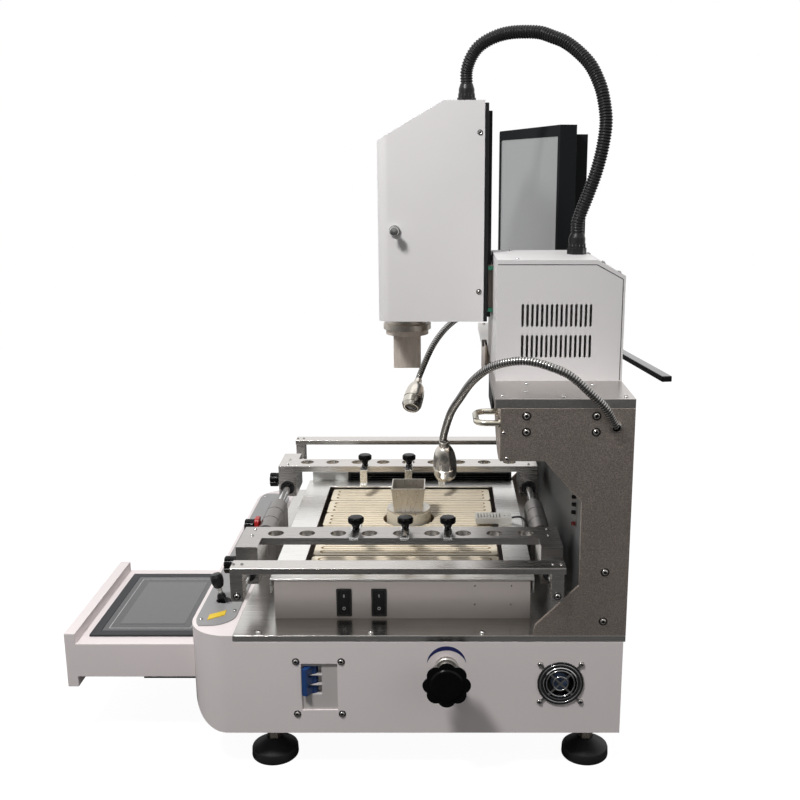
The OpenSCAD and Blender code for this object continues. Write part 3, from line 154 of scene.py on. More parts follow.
# Hose: black corrugated hose from the gland on the head to the gland on the motor box.
# It is blow-moulded plastic with a rib every few millimetres, and bends as the head goes down.
def finish(name, colour, rough, metal=0.0, grain=900.0, spread=0.05, stretch=(1, 1, 1), bump=0.02, sway=0.06,
           coat=0.0, blotch=0.0, shine=0.5):
    """A surface with a fine grain in colour, gloss and relief.

    The stretch draws the grain out along an axis, and the blotch sets how strong its large clouds are.
    """
    made = bpy.data.materials.new(name)
    made.use_nodes = True
    tree, links = made.node_tree.nodes, made.node_tree.links
    skin = set_inputs(tree["Principled BSDF"], {
        "Metallic": metal, "Coat Weight": coat, "Specular IOR Level": shine})
    place = tree.new("ShaderNodeTexCoord")
    turn = set_inputs(tree.new("ShaderNodeMapping"), {"Scale": stretch})
    fine = set_inputs(tree.new("ShaderNodeTexNoise"), {"Scale": grain, "Detail": 4.0})
    cloud = set_inputs(tree.new("ShaderNodeTexNoise"), {"Scale": 9.0, "Detail": 3.0})
    least_cloud, least_rough = 0.015, 0.03
    clouding = max(blotch, least_cloud)
    shade = map_range(tree, 0.25, 0.75, -spread, spread)
    drift = map_range(tree, 0.3, 0.7, 1 - clouding, 1 + clouding)
    gloss = map_range(tree, 0.25, 0.75, max(rough - sway, least_rough), min(rough + sway, 1.0))
    total = tree.new("ShaderNodeMath")
    tint = tree.new("ShaderNodeVectorMath")
    tint.operation = "SCALE"
    tint.inputs[0].default_value = colour
    relief = set_inputs(tree.new("ShaderNodeBump"), {"Strength": 0.5, "Distance": bump * MM})
    join(links, [
        (place, "Object", turn, "Vector"), (turn, "Vector", fine, "Vector"),
        (place, "Object", cloud, "Vector"), (fine, "Fac", shade, "Value"), (cloud, "Fac", drift, "Value"),
        (shade, "Result", total, 0), (drift, "Result", total, 1), (total, "Value", tint, "Scale"),
        (tint, "Vector", skin, "Base Color"), (fine, "Fac", gloss, "Value"),
        (gloss, "Result", skin, "Roughness"), (fine, "Fac", relief, "Height"),
        (relief, "Normal", skin, "Normal")])
    return made


def add_piece(name, mesh, material, body="base", smooth=False):
    """Puts a mesh in the scene as a piece, which rides on a body unless it bends."""
    mesh.materials.append(material)
    for face in mesh.polygons:
        face.use_smooth = smooth
    piece = bpy.data.objects.new(name, mesh)
    scene.collection.objects.link(piece)
    if body:
        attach(piece, body)
    return piece


def mesh_from(name, built):
    """Mesh data from a bmesh, which is freed."""
    made = bpy.data.meshes.new(name)
    built.to_mesh(made)
    built.free()
    return made


def path_length(path):
    return sum((q - p).length for p, q in zip(path, path[1:]))


def smooth_path(points, step):
    """Points of a smooth curve through the given ones, a fixed step apart."""
    dense_steps, slack = 24, 1e-9
    points = [Vector(p) for p in points]
    ends = [2 * points[0] - points[1]] + points + [2 * points[-1] - points[-2]]
    dense = []
    for a, b, c, d in zip(ends, ends[1:], ends[2:], ends[3:]):
        for k in range(dense_steps):
            t = k / dense_steps
            dense.append(0.5 * (2 * b + (c - a) * t + (2 * a - 5 * b + 4 * c - d) * t * t
                                + (3 * b - a - 3 * c + d) * t ** 3))
    dense.append(points[-1])
    total = path_length(dense)
    count = round(total / step)
    spaced, walked, want = [dense[0]], 0.0, total / count
    for p, q in zip(dense, dense[1:]):
        length = (q - p).length
        while length and walked + length >= want * len(spaced) - slack and len(spaced) < count:
            spaced.append(p.lerp(q, (want * len(spaced) - walked) / length))
        walked += length
    return spaced + [dense[-1]]


def tube_mesh(name, path, radius_at, sides):
    """A closed tube along a path whose radius is given for each of its points."""
    mesh = bmesh.new()
    side = Vector((0, 1, 0))
    rings = []
    for i, point in enumerate(path):
        ahead = (path[min(i + 1, len(path) - 1)] - path[max(i - 1, 0)]).normalized()
        side = (side - ahead * side.dot(ahead)).normalized()
        other = ahead.cross(side)
        rings.append([mesh.verts.new(point + radius_at(i) * (side * math.cos(a) + other * math.sin(a)))
                      for a in (2 * math.pi * k / sides for k in range(sides))])
    for a, b in zip(rings, rings[1:]):
        for k in range(sides):
            mesh.faces.new((a[k], a[(k + 1) % sides], b[(k + 1) % sides], b[k]))
    mesh.faces.new(reversed(rings[0]))
    mesh.faces.new(rings[-1])
    mesh.normal_update()
    return mesh_from(name, mesh)


def top_of(node):
    """The middle of a solid's top."""
    low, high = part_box(node)
    return Vector(((low.x + high.x) / 2, (low.y + high.y) / 2, high.z))


head_end, box_end = top_of("head_gland"), top_of("box_gland")
hose_rise = [(0, 0, 0), (0, 0, 16), (4, -3, 30), (12, -6, 43), (23, -10, 52), (39, -16, 59), (55, -24, 62),
             (73, -33, 62), (92, -42, 60), (107, -51, 54), (122, -59, 47), (138, -69, 34), (152, -78, 18)]
hose_fall = [(22, 16, 188), (28, 10, 169), (32, 4, 139), (29, 1, 109), (22, 0, 78), (12, 0, 48), (3, 0, 24),
             (0, 0, 12), (0, 0, 0)]
hose_d, hose_sides, rib_pitch, rib_steps = 17, 20, 3.6, 6
hose_path = smooth_path([head_end + Vector(p) * MM for p in hose_rise]
                        + [box_end + Vector(p) * MM for p in hose_fall], rib_pitch / rib_steps * MM)
rib_form = [1.0, 1.0, 0.93, 0.86, 0.86, 0.93]
hose_black = finish("hose_black", (0.012, 0.012, 0.013), 0.38, grain=700, spread=0.25, bump=0.03, shine=0.25)
hose_mesh = tube_mesh("corrugated_hose", hose_path, lambda step: hose_d / 2 * MM * rib_form[step % rib_steps],
                      hose_sides)
hose = add_piece("corrugated_hose", hose_mesh, hose_black, None, True)
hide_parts("hose")
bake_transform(hose)


# Sensor lead: thin black cable from the sensor block over the preheater's edge, down through the deck.
# It has a small moulded grommet where it goes into the plate.
def add_turned(name, profile, places, material, sides=24, degrees=35, body="base"):
    """Adds copies of a turned form as one piece, smooth up to an angle between faces in degrees.

    The profile holds (radius, height) in mm, and the places hold (point in mm, direction).
    """
    mesh = bmesh.new()
    corners = [2 * math.pi * k / sides for k in range(sides)]
    for point, direction in places:
        turn = Vector(direction).to_track_quat("Z", "Y").to_matrix().to_4x4()
        set_at = Matrix.Translation(Vector(point) * MM) @ turn
        rings = []
        for radius, height in profile:
            if radius == 0:
                rings.append([mesh.verts.new(set_at @ Vector((0, 0, height * MM)))])
                continue
            ring = [(radius * MM * math.cos(a), radius * MM * math.sin(a), height * MM) for a in corners]
            rings.append([mesh.verts.new(set_at @ Vector(p)) for p in ring])
        for a, b in zip(rings, rings[1:]):
            for k in range(sides):
                n = (k + 1) % sides
                if len(a) == 1:
                    mesh.faces.new((a[0], b[k], b[n]))
                elif len(b) == 1:
                    mesh.faces.new((a[k], b[0], a[n]))
                else:
                    mesh.faces.new((a[k], b[k], b[n], a[n]))
    bmesh.ops.recalc_face_normals(mesh, faces=mesh.faces[:])
    for edge in mesh.edges:
        edge.smooth = len(edge.link_faces) == 2 and edge.calc_face_angle(0) < math.radians(degrees)
    return add_piece(name, mesh_from(name, mesh), material, body, degrees > 0)


sensor_low, sensor_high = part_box("sensor_block")
deck_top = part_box("deck_plate")[1].z
lead_d, lead_sides, lead_step, lead_rise = 3, 12, 1.5, 4.5
lead_exit = Vector((sensor_high.x, (sensor_low.y + sensor_high.y) / 2, sensor_low.z + lead_rise * MM))
lead_hole = Vector((161 * MM, -62 * MM, deck_top))
lead_bends = [(0, 0, 0), (6, -1, 1.5), (14, -5, 2.5), (19, -13, -1), (21, -22, -12), (20, -31, -28)]
lead_path = smooth_path([lead_exit + Vector(p) * MM for p in lead_bends]
                        + [lead_hole + Vector((0, 0, z)) * MM for z in (18, 8, 0)], lead_step * MM)
lead_mesh = tube_mesh("sensor_lead", lead_path, lambda step: lead_d / 2 * MM, lead_sides)
lead = add_piece("sensor_lead", lead_mesh, hose_black, smooth=True)
grommet_form = [(1.5, 6), (2.4, 5.5), (3.2, 2.5), (4.5, 2.2), (5, 1.2), (5, 0)]
lead_grommet = add_turned("lead_grommet", grommet_form, [(lead_hole / MM, (0, 0, 1))], hose_black,
                          degrees=180)


# Base housing: folded steel sheet with a smooth white powder coat.
# The drawer, the motor box and the head cover are made the same way, and their folds are slightly round.
def dress(node, material, round_edge=0.0):
    """Gives a solid its finish, and rounds its sharp edges by some tenths of a millimetre."""
    solid = nodes[node]
    solid.data.materials.clear()
    solid.data.materials.append(material)
    if round_edge:
        weld = solid.modifiers.new("joined_faces", "WELD")
        weld.merge_threshold = 0.002 * MM
        flat = solid.modifiers.new("whole_faces", "DECIMATE")
        flat.decimate_type = "DISSOLVE"
        flat.angle_limit = math.radians(0.3)
        edge = solid.modifiers.new("round_edges", "BEVEL")
        edge.width = round_edge * MM
        edge.segments = 2
        edge.limit_method = "ANGLE"
        edge.angle_limit = math.radians(40)
        even = solid.modifiers.new("even_shading", "WEIGHTED_NORMAL")
        even.weight = 100


powder = {"rough": 0.42, "grain": 1400, "spread": 0.025, "bump": 0.03, "sway": 0.05}
white_coat = finish("white_powder_coat", (0.74, 0.715, 0.715), **powder)
# The base and drawer take a warmer, brighter copy of the white coat: painted warm reflected light.
base_coat_warm_reflection = finish("base_powder_coat_warm_reflection", (0.87, 0.795, 0.79), **powder)
fold_edge = 0.8
for node, coat in (("base_housing", base_coat_warm_reflection), ("drawer", base_coat_warm_reflection), ("motor_box", white_coat),
                   ("head_cover", white_coat)):
    dress(node, coat, fold_edge)


# Screws: bright and dark button-head screws that hold the panels together.
# Each has a round head whose socket is painted black as shade, and some stand on a black washer.
screw_steel = finish("screw_steel", (0.52, 0.51, 0.49), 0.2, metal=1.0, grain=1500, spread=0.08, bump=0.006)
screw_dark = finish("screw_dark", (0.36, 0.345, 0.33), 0.16, metal=1.0, grain=1500, spread=0.1, bump=0.004)
# The black washer finish is also painted into the screws' sockets as shade.
black_washer_and_socket_shade = finish("black_washer_and_socket_shade", (0.012, 0.012, 0.012), 0.3, grain=1500, spread=0.2, bump=0.006)
dark_screw, bright_screw = (screw_dark, "knob_black"), (screw_steel, "turned_steel")


def screws(name, places, radius, kind, body="base", washer=0.0):
    """Adds button-head screws: places hold (point in mm on the face, outward direction)."""
    material, slot = kind
    form = [(0, 0.15), (0.42, 0.15), (0.48, 0.62), (0.56, 0.66), (0.8, 0.52), (0.95, 0.3), (1, 0)]
    sides, shaded_socket_rings = 18, 2
    profile = [(radius * r, radius * h) for r, h in form]
    piece = add_turned(name, profile, places, material, sides, body=body)
    # The socket faces take the black washer finish: painted shade in the recess.
    piece.data.materials.append(black_washer_and_socket_shade)
    for face in piece.data.polygons:
        face.material_index = int(face.index % (sides * (len(form) - 1)) < sides * shaded_socket_rings)
    if washer:
        inner, height = 0.8 * radius, 0.2 * radius
        ring = [(inner, 0), (inner, height), (washer - 0.3, height), (washer, 0)]
        add_turned(f"{name}_washers", ring, places, black_washer_and_socket_shade, sides, body=body)


base_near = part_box("base_housing")[0].y / MM
near, far, up = (0, -1, 0), (0, 1, 0), (0, 0, 1)
breaker_screw_x, breaker_screw_z = (-134, -79), (149, 79)
screws("breaker_screws", [((x, base_near, z), near) for x in breaker_screw_x for z in breaker_screw_z], 3.4,
       dark_screw, washer=4.6)
fan_screw_x, fan_screw_z = (162.6, 212.4), (145.4, 95.6)
screws("fan_screws", [((x, base_near, z), near) for x in fan_screw_x for z in fan_screw_z], 3.6, dark_screw)


# Deck: thick stainless plate with a brushed top, screwed down along its edges.
# The brush marks run front to back.
deck_steel = finish("deck_brushed_steel", (0.60, 0.585, 0.56), 0.23, metal=1.0, grain=260, spread=0.10,
                    stretch=(0.05, 2.0, 2.0), bump=0.002, sway=0.05, blotch=0.04)
dress("deck_plate", deck_steel, 0.5)
deck_z = deck_top / MM
deck_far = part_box("deck_plate")[1].y / MM
deck_inset, deck_screw_x = 9, (-179, -43, 92)
screws("deck_screws", [((x, s * (deck_far - deck_inset), deck_z), up) for x in deck_screw_x for s in (-1, 1)],
       3.8, bright_screw)


# Console: matt grey overlay on the front of the base, held by two screws at each end.
# Its near end has a bare yellow plate, and a low ring round the hole of the joystick's stem.
console_grey = finish("console_overlay", (0.31, 0.305, 0.305), 0.45, metal=0.2, grain=1200, spread=0.08)
dress("console_panel", console_grey, 0.3)
console_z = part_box("console_panel")[1].z / MM


def add_plate(name, outline, thickness, matrix, material, body="base"):
    """Adds a flat plate from its outline in mm, with a small bevel round its upper edge."""
    mesh = bmesh.new()
    rim = [mesh.verts.new((x * MM, y * MM, 0)) for x, y in outline]
    face = mesh.faces.new(rim)
    raised = bmesh.ops.extrude_face_region(mesh, geom=[face])["geom"]
    top = [v for v in raised if isinstance(v, bmesh.types.BMVert)]
    bmesh.ops.translate(mesh, verts=top, vec=(0, 0, thickness * MM))
    edges = [e for e in mesh.edges if all(v in top for v in e.verts)]
    bmesh.ops.bevel(mesh, geom=edges, offset=min(0.3, thickness * 0.4) * MM, segments=2, affect="EDGES")
    bmesh.ops.recalc_face_normals(mesh, faces=mesh.faces[:])
    made = mesh_from(name, mesh)
    made.transform(matrix)
    add_piece(name, made, material, body)


def rectangle(w, h, r, steps=5):
    """Outline of a rectangle with round corners, about its middle."""
    x, y = w / 2 - r, h / 2 - r
    outline = []
    for corner_x, corner_y, start in ((x, y, 0), (-x, y, 90), (-x, -y, 180), (x, -y, 270)):
        for k in range(steps + 1):
            a = math.radians(start + 90 * k / steps)
            outline.append((corner_x + r * math.cos(a), corner_y + r * math.sin(a)))
    return outline


lie_flat = Matrix.Rotation(math.radians(90), 4, "X")


def on_top(x, y, z):
    return Matrix.Translation(Vector((x, y, z)) * MM)


def on_near(x, y, z):
    return on_top(x, y, z) @ lie_flat


plate_yellow = finish("plate_yellow", (0.80, 0.55, 0.03), 0.45)
plate_long, plate_short = Vector((19.1, 13.5)) / 2, Vector((-0.4, 14.6)) / 2
plate_outline = [-plate_long - plate_short, plate_long - plate_short, plate_long + plate_short,
                 plate_short - plate_long]
plate_x, plate_y, plate_t = -239, -225, 0.8
add_plate("console_plate", plate_outline, plate_t, on_top(plate_x, plate_y, console_z), plate_yellow)
screw_places = [(-256.5, -237), (-219.5, -212)]
screws("console_screws", [((x, s * y, console_z), up) for s in (1, -1) for x, y in screw_places], 2.6,
       bright_screw)


# Joystick: black moulded stick on a steel yoke under the console, which tips two ways.
# A short bright shaft shows between the stem and the grip.
stick_black = finish("stick_black", (0.010, 0.010, 0.011), 0.34, grain=1000, spread=0.2, bump=0.03, shine=0.3)
dress("joystick", stick_black)
yoke_steel = finish("yoke_steel", (0.78, 0.78, 0.76), 0.3, metal=1.0, spread=0.08)
dress("joystick_yoke", yoke_steel)
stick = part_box("joystick_yoke")
stick_x, stick_y = (stick[0].x + stick[1].x) / 2 / MM, (stick[0].y + stick[1].y) / 2 / MM
collar_form = [(9.8, 0), (9.8, 0.7), (10.6, 1.0), (11.4, 0.8), (11.8, 0.4), (11.8, 0)]
add_turned("joystick_collar", collar_form, [((stick_x, stick_y, console_z), up)], console_grey,
           36, 180)
stick_tilt = math.radians(11)
stick_lean = Vector((-math.sin(stick_tilt), 0, math.cos(stick_tilt)))
stick_pivot = Vector((stick_x, stick_y, (stick[0].z + stick[1].z) / 2 / MM))
stem_form = [(3.0, 21), (3.2, 21.1), (3.2, 30), (3.0, 30.1)]
add_turned("joystick_shaft", stem_form, [(stick_pivot, stick_lean)], yoke_steel, 20, 180,
           "joystick")


# Levelling feet: black rubber pads with a coned top, each turning on a steel stud with hexagon nuts.
# The lower nut sits on the pad and the upper one locks the stud under the housing.
feet_low, feet_high = (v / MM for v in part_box("levelling_feet"))
pad_r, pad_top, pad_inset, lock_z, nut_bore, nut_sides = 29.6, 25, 30, 53, 6, 6
feet_x = (feet_low.x + pad_inset, feet_high.x - pad_inset)
feet_places = [((x, s * (feet_high.y - pad_inset), 0), up) for x in feet_x for s in (-1, 1)]
pad_form = [(0, 0), (pad_r - 1.2, 0), (pad_r - 0.2, 1.2), (pad_r, 2.5), (pad_r - 0.4, 11), (pad_r - 1, 12.6),
            (pad_r - 2.6, 13.4), (12.5, 22.5), (10, pad_top), (0, pad_top)]
foot_rubber = finish("foot_rubber", (0.013, 0.013, 0.014), 0.5, grain=600, spread=0.25, bump=0.05, shine=0.3)
pads = add_turned("foot_pads", pad_form, feet_places, foot_rubber, 48, 25)
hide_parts("levelling_feet")
stud_steel = finish("stud_steel", (0.45, 0.40, 0.34), 0.28, metal=1.0, spread=0.1)
crest_r, root_r, half_pitch, half_turns = 6.8, 6.1, 0.75, 37
thread = [(crest_r if k % 2 else root_r, pad_top + half_pitch * k) for k in range(half_turns)]
add_turned("foot_studs", thread, feet_places, stud_steel, 20)
nut_form = [(nut_bore, pad_top), (8.8, pad_top), (9.6, pad_top + 0.7), (9.6, pad_top + 8.3),
            (8.8, pad_top + 9), (nut_bore, pad_top + 9)]
lock_form = [(nut_bore, lock_z - 9), (11, lock_z - 9), (12, lock_z - 8.2), (12, lock_z - 0.2),
             (nut_bore, lock_z - 0.2)]
for name, form in (("foot_nuts", nut_form), ("foot_lock_nuts", lock_form)):
    add_turned(name, form, feet_places, stud_steel, nut_sides, 0)


# Breaker: three-pole circuit breaker moulded from grey plastic, clipped in behind a window in the base.
# Its three blue toggles are linked and move as one.
breaker_grey = finish("breaker_grey", (0.56, 0.53, 0.515), 0.4, bump=0.03)
dress("breaker_body", breaker_grey, 0.4)
toggle_blue = finish("toggle_blue", (0.012, 0.055, 0.20), 0.32, spread=0.12)
dress("breaker_lever", toggle_blue, 0.8)


# Fan: black moulded frame and rotor behind a chromed ring guard, let into the panel.
# Four screws at its corners hold it.
def mix_node(tree, kind):
    """The factor, the two inputs and the result of a new mix node."""
    made = tree.new("ShaderNodeMix")
    made.data_type = kind
    factor, first, second = [s for s in made.inputs if s.enabled and s.name in ("Factor", "A", "B")]
    return factor, first, second, next(s for s in made.outputs if s.enabled)


def zoned(name, low, high, where, axis):
    """Two finishes on one solid: the first below a plane across an axis, the second above it."""
    made = bpy.data.materials.new(name)
    made.use_nodes = True
    tree, links = made.node_tree.nodes, made.node_tree.links
    skin = set_inputs(tree["Principled BSDF"], {"Specular IOR Level": 0.3})
    place = tree.new("ShaderNodeTexCoord")
    split = tree.new("ShaderNodeSeparateXYZ")
    above = tree.new("ShaderNodeMath")
    above.operation = "GREATER_THAN"
    above.inputs[1].default_value = where * MM
    grain = set_inputs(tree.new("ShaderNodeTexNoise"), {"Scale": 900.0})
    join(links, [(place, "Object", split, "Vector"), (place, "Object", grain, "Vector"),
                 (split, axis, above, 0)])
    for socket, kind in (("Base Color", "RGBA"), ("Metallic", "FLOAT"), ("Roughness", "FLOAT")):
        factor, first, second, mixed = mix_node(tree, kind)
        first.default_value = (*low[socket], 1) if kind == "RGBA" else low[socket]
        second.default_value = (*high[socket], 1) if kind == "RGBA" else high[socket]
        links.new(above.outputs["Value"], factor)
        links.new(mixed, skin.inputs[socket])
    relief = set_inputs(tree.new("ShaderNodeBump"), {"Strength": 0.4, "Distance": 0.05 * MM})
    join(links, [(grain, "Fac", relief, "Height"), (relief, "Normal", skin, "Normal")])
    return made


def tone(colour, rough, metal=0.0):
    return {"Base Color": colour, "Roughness": rough, "Metallic": metal}


fan_low, fan_high = tone((0.36, 0.36, 0.36), 0.16, 1.0), tone((0.014, 0.014, 0.015), 0.45)
guard_depth = 0.5
dress("fan_frame", zoned("fan_chrome_and_black", fan_low, fan_high, base_near + guard_depth, "Y"))
fan_black = finish("fan_black", (0.02, 0.021, 0.024), 0.4, grain=800, spread=0.15, shine=0.3)
dress("fan_rotor", fan_black)
fan_x, fan_z = 187.5, 120.5
fan_place = [((fan_x, base_near, fan_z), near)]
rim_gloss = finish("rim_gloss", (0.008, 0.008, 0.009), 0.2, spread=0.2, bump=0.004, coat=0.4)
rim_form = [(27.6, 0), (28.4, 0.9), (27.8, 2.0), (25.4, 2.3), (21.4, 1.7), (20.6, 0.4), (21.0, 0)]
add_turned("fan_rim", rim_form, fan_place, rim_gloss, 56)
guard_chrome = finish("guard_chrome", (0.6, 0.6, 0.6), 0.12, metal=1.0, spread=0.03, bump=0.004, sway=0.03)
hoop_form = [(19.9, 1.6), (20.5, 0.9), (21.2, 1.2), (21.4, 2.0), (20.8, 2.6), (20.1, 2.4), (19.9, 1.6)]
add_turned("fan_hoops", hoop_form, fan_place, guard_chrome, 56)
hub_blue = finish("hub_blue", (0.10, 0.16, 0.30), 0.25, grain=700, spread=0.2, bump=0.01, coat=0.3)
hub_form = [(0, 0.5), (8, 0.5), (10, 0.35), (11, 0)]
hub_place = [((fan_x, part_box("fan_rotor")[0].y / MM, fan_z), near)]
add_turned("fan_hub_cap", hub_form, hub_place, hub_blue, 40, body="fan_rotor")


# Lift knob: black moulded grip with lobes, on a turned steel bush in the panel.
# A plain blue crescent is printed round it.
knob_black = finish("knob_black", (0.003, 0.003, 0.0035), 0.2, grain=700, spread=0.2, bump=0.008, shine=0.12)
dress("lift_knob", knob_black, 1.2)
bush_steel = finish("bush_steel", (0.44, 0.42, 0.39), 0.4, metal=1.0, grain=500, spread=0.12,
                    stretch=(1, 0.1, 1))
dress("lift_shaft", bush_steel)
knob_x, knob_z = 48.8, 142
bush_form = [(5.3, 0), (5.3, 15), (9.6, 15), (10.6, 14), (10.6, 7.5), (13.4, 7), (14.4, 5.8), (14.4, 0.8),
             (13.8, 0)]
add_turned("knob_bush", bush_form, [((knob_x, base_near, knob_z), near)], bush_steel, 40)
crescent_r, crescent_t, crescent_tip, crescent_half, crescent_rise = 23.8, 5.2, 0.3, 84, 3.5
crescent_steps, print_t = 36, 0.15
crescent, inner_edge = [], []
for k in range(crescent_steps + 1):
    a = math.radians(90 - crescent_half + 2 * crescent_half * k / crescent_steps)
    inner_r = crescent_r - crescent_tip - crescent_t * math.sin(math.pi * k / crescent_steps)
    crescent.append((crescent_r * math.cos(a), crescent_r * math.sin(a)))
    inner_edge.append((inner_r * math.cos(a), inner_r * math.sin(a)))
print_blue = finish("print_blue", (0.015, 0.02, 0.11), 0.45, spread=0.06)
add_plate("knob_crescent", crescent + inner_edge[::-1], print_t,
          on_near(knob_x, base_near, knob_z + crescent_rise), print_blue)


# Drawer: white tray on black ball-bearing slides, closed by the control screen.
# The screen is a dark grey moulding with a sloped rim and a pane of glass let into it.
slide_black = finish("slide_black", (0.012, 0.012, 0.013), 0.42, grain=800, spread=0.2, shine=0.25)
for node in ("drawer_rails", "drawer_runners", "slide_middle"):
    dress(node, slide_black)
bezel_grey = finish("bezel_grey", (0.024, 0.025, 0.028), 0.5, grain=1600, spread=0.12, bump=0.04, shine=0.3)
dress("screen_bezel", bezel_grey, 1.0)


def middle_of(node):
    """The middle of a solid's box in mm."""
    low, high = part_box(node)
    return (low + high) / 2 / MM


screen_mid, screen_z = middle_of("screen_bezel"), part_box("screen_bezel")[1].z / MM


def on_screen(sunk):
    return on_top(screen_mid.x, screen_mid.y, screen_z - sunk)


def add_frame(name, outer, inner, thickness, matrix, material, body="base"):
    """Adds a flat ring between two outlines in mm with the same number of points."""
    mesh = bmesh.new()
    loops = [[mesh.verts.new((x * MM, y * MM, z * MM)) for x, y in outline]
             for outline, z in ((outer, 0), (outer, thickness), (inner, thickness), (inner, 0))]
    for a, b in zip(loops, loops[1:] + loops[:1]):
        for k in range(len(a)):
            n = (k + 1) % len(a)
            mesh.faces.new((a[k], a[n], b[n], b[k]))
    bmesh.ops.recalc_face_normals(mesh, faces=mesh.faces[:])
    made = mesh_from(name, mesh)
    made.transform(matrix)
    add_piece(name, made, material, body)


field_grey = finish("field_grey", (0.046, 0.047, 0.050), 0.3, grain=1400, spread=0.06, bump=0.006, coat=0.2)
field_outline, field_t, field_sunk = rectangle(122.4, 175.4, 1), 1.2, 1.5
add_plate("screen_field", field_outline, field_t, on_screen(field_sunk), field_grey, "drawer")
pane_grey = finish("pane_grey", (0.082, 0.082, 0.086), 0.24, grain=1400, spread=0.04, bump=0.004, coat=0.3)
pane_outline, pane_t, pane_sunk = rectangle(86, 136, 1), 0.3, 0.35
add_plate("screen_pane", pane_outline, pane_t, on_screen(pane_sunk), pane_grey, "drawer")
line_grey = finish("line_grey", (0.55, 0.55, 0.56), 0.4)
line_outer, line_inner = rectangle(108, 161, 1), rectangle(106.4, 159.4, 0.8)
line_t, line_sunk = 0.12, 0.34
add_frame("screen_line", line_outer, line_inner, line_t, on_screen(line_sunk), line_grey,
          "drawer")


# Column: folded stainless sheet with a sandblasted finish, whose brown tint is a painted reflection of the
# dim room.
# Its panels are screwed to a folded channel with socket screws on washers.
column_steel_painted_reflection = finish("column_blasted_steel_painted_reflection", (0.60, 0.52, 0.465), 0.4, metal=1.0, grain=750, spread=0.34,
                      bump=0.03, sway=0.08, blotch=0.07)
for node in ("near_panel", "far_panel", "apron"):
    dress(node, column_steel_painted_reflection, 0.4)
pan_steel = finish("pan_steel", (0.54, 0.515, 0.495), 0.34, metal=1.0, grain=700, spread=0.12,
                   stretch=(1, 0.3, 1), bump=0.006, blotch=0.04)
dress("column_top", pan_steel, 0.5)
core_grey = finish("core_grey", (0.10, 0.102, 0.105), 0.45, metal=0.5, grain=700, spread=0.1)
dress("column_core", core_grey)
panel_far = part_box("far_panel")[1].y / MM


def on_panels(places):
    """Screw places on both side panels from their (x, z) in mm."""
    return [((x, s * panel_far, z), (0, s, 0)) for x, z in places for s in (-1, 1)]


big_places = [(140, 456), (140, 437), (220, 456), (220, 437), (236.5, 265), (236.5, 202)]
screws("column_screws", on_panels(big_places), 4.0, dark_screw, washer=5.4)
small_places = [(114, 436), (118, 405)]
screws("column_edge_screws", on_panels(small_places), 2.4, dark_screw)
column_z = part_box("column_top")[1].z / MM
column_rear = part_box("column_core")[1].x / MM
pan_places = [(146, -200), (141, -243), (113, -264), (183, -269), (255, -269), (225, -206)]
pan_places += [(x, -y) for x, y in pan_places[1:5]]
screws("pan_screws", [((x, y, column_z), up) for x, y in pan_places], 2.8, bright_screw)
rear_y, rear_z = (-266, 266), (430, 330, 213)
screws("rear_screws", [((column_rear, y, z), (1, 0, 0)) for z in rear_z for y in rear_y], 2.8, bright_screw)


# Connectors: small round sockets in a row on the wall inside the column.
# Three are black plastic and the lowest is red.
throat_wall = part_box("column_core")[0].x / MM
socket_form = [(2.0, 0), (2.9, 0), (2.9, 0.9), (2.5, 1.2), (2.5, 4.2), (2.2, 4.8), (1.9, 4.6), (1.9, 2),
               (0, 2)]
black_places = [((throat_wall, -214, z), (-1, 0, 0)) for z in (337, 327, 317)]
add_turned("black_sockets", socket_form, black_places, hose_black)
socket_red = finish("socket_red", (0.20, 0.012, 0.012), 0.4, spread=0.08)
red_places = [((throat_wall, -216, 303), (-1, 0, 0))]
add_turned("red_socket", socket_form, red_places, socket_red)


# Grab handle: bent from polished steel rod and screwed to the apron.
# The rear bar and the monitor's post are steel as well, painted black, and so is the plate behind the head.
handle_steel = finish("handle_steel", (0.66, 0.62, 0.52), 0.2, metal=1.0, sway=0.04)
dress("grab_handle", handle_steel)
black_steel = finish("black_steel", (0.014, 0.014, 0.015), 0.36, grain=1000, spread=0.2, bump=0.03, shine=0.3)
for node in ("monitor_post", "head_back_plate"):
    dress(node, black_steel, 0.6)
black_gloss = finish("black_gloss", (0.012, 0.012, 0.013), 0.14, grain=600, spread=0.2, bump=0.004, coat=0.3)
dress("rear_bar", black_gloss, 1.6)


# Monitor: black textured moulding that turns on its post.
# A grey front frame holds a dull glass screen.
monitor_black = finish("monitor_black", (0.009, 0.010, 0.011), 0.5, grain=1500, spread=0.2, bump=0.05,
                       shine=0.15)
dress("monitor", monitor_black, 0.8)
swivel = next(j for j in frame["joints"] if j["name"] == "monitor_swivel")
yaw, face_x = 10.5, -66
monitor_frame = Matrix.Translation(Vector(swivel["pos_m"])) @ Matrix.Rotation(math.radians(yaw), 4, "Z")
face_turn = Matrix.Rotation(math.radians(-90), 4, "Y") @ Matrix.Rotation(math.radians(90), 4, "Z")
to_face = monitor_frame @ Matrix.Translation((face_x * MM, 0, 0)) @ face_turn
front_grey = finish("front_grey", (0.030, 0.032, 0.034), 0.85, grain=1500, spread=0.08, bump=0.03, shine=0.0)
screen_grey = finish("monitor_glass", (0.20, 0.21, 0.212), 0.3, grain=2200, spread=0.04, bump=0.004, coat=0.2)
mon_w, mon_h, mon_rim, mon_chin, play = 350, 270, 9, 15, 1
front_t, front_sunk, glass_sunk = 0.8, 0.1, 1.4
window_w, window_h, window_rise = mon_w - 2 * mon_rim, mon_h - mon_rim - mon_chin, (mon_chin - mon_rim) / 2
glass_place = to_face @ Matrix.Translation((0, window_rise * MM, -glass_sunk * MM))
add_plate("monitor_glass", rectangle(window_w - play, window_h - play, 3), front_t, glass_place, screen_grey,
          "monitor")
window = [(x, y + window_rise) for x, y in rectangle(window_w, window_h, 3)]
front_place = to_face @ Matrix.Translation((0, 0, -front_sunk * MM))
add_frame("monitor_front", rectangle(mon_w - play, mon_h - play, 4), window, front_t, front_place, front_grey,
          "monitor")


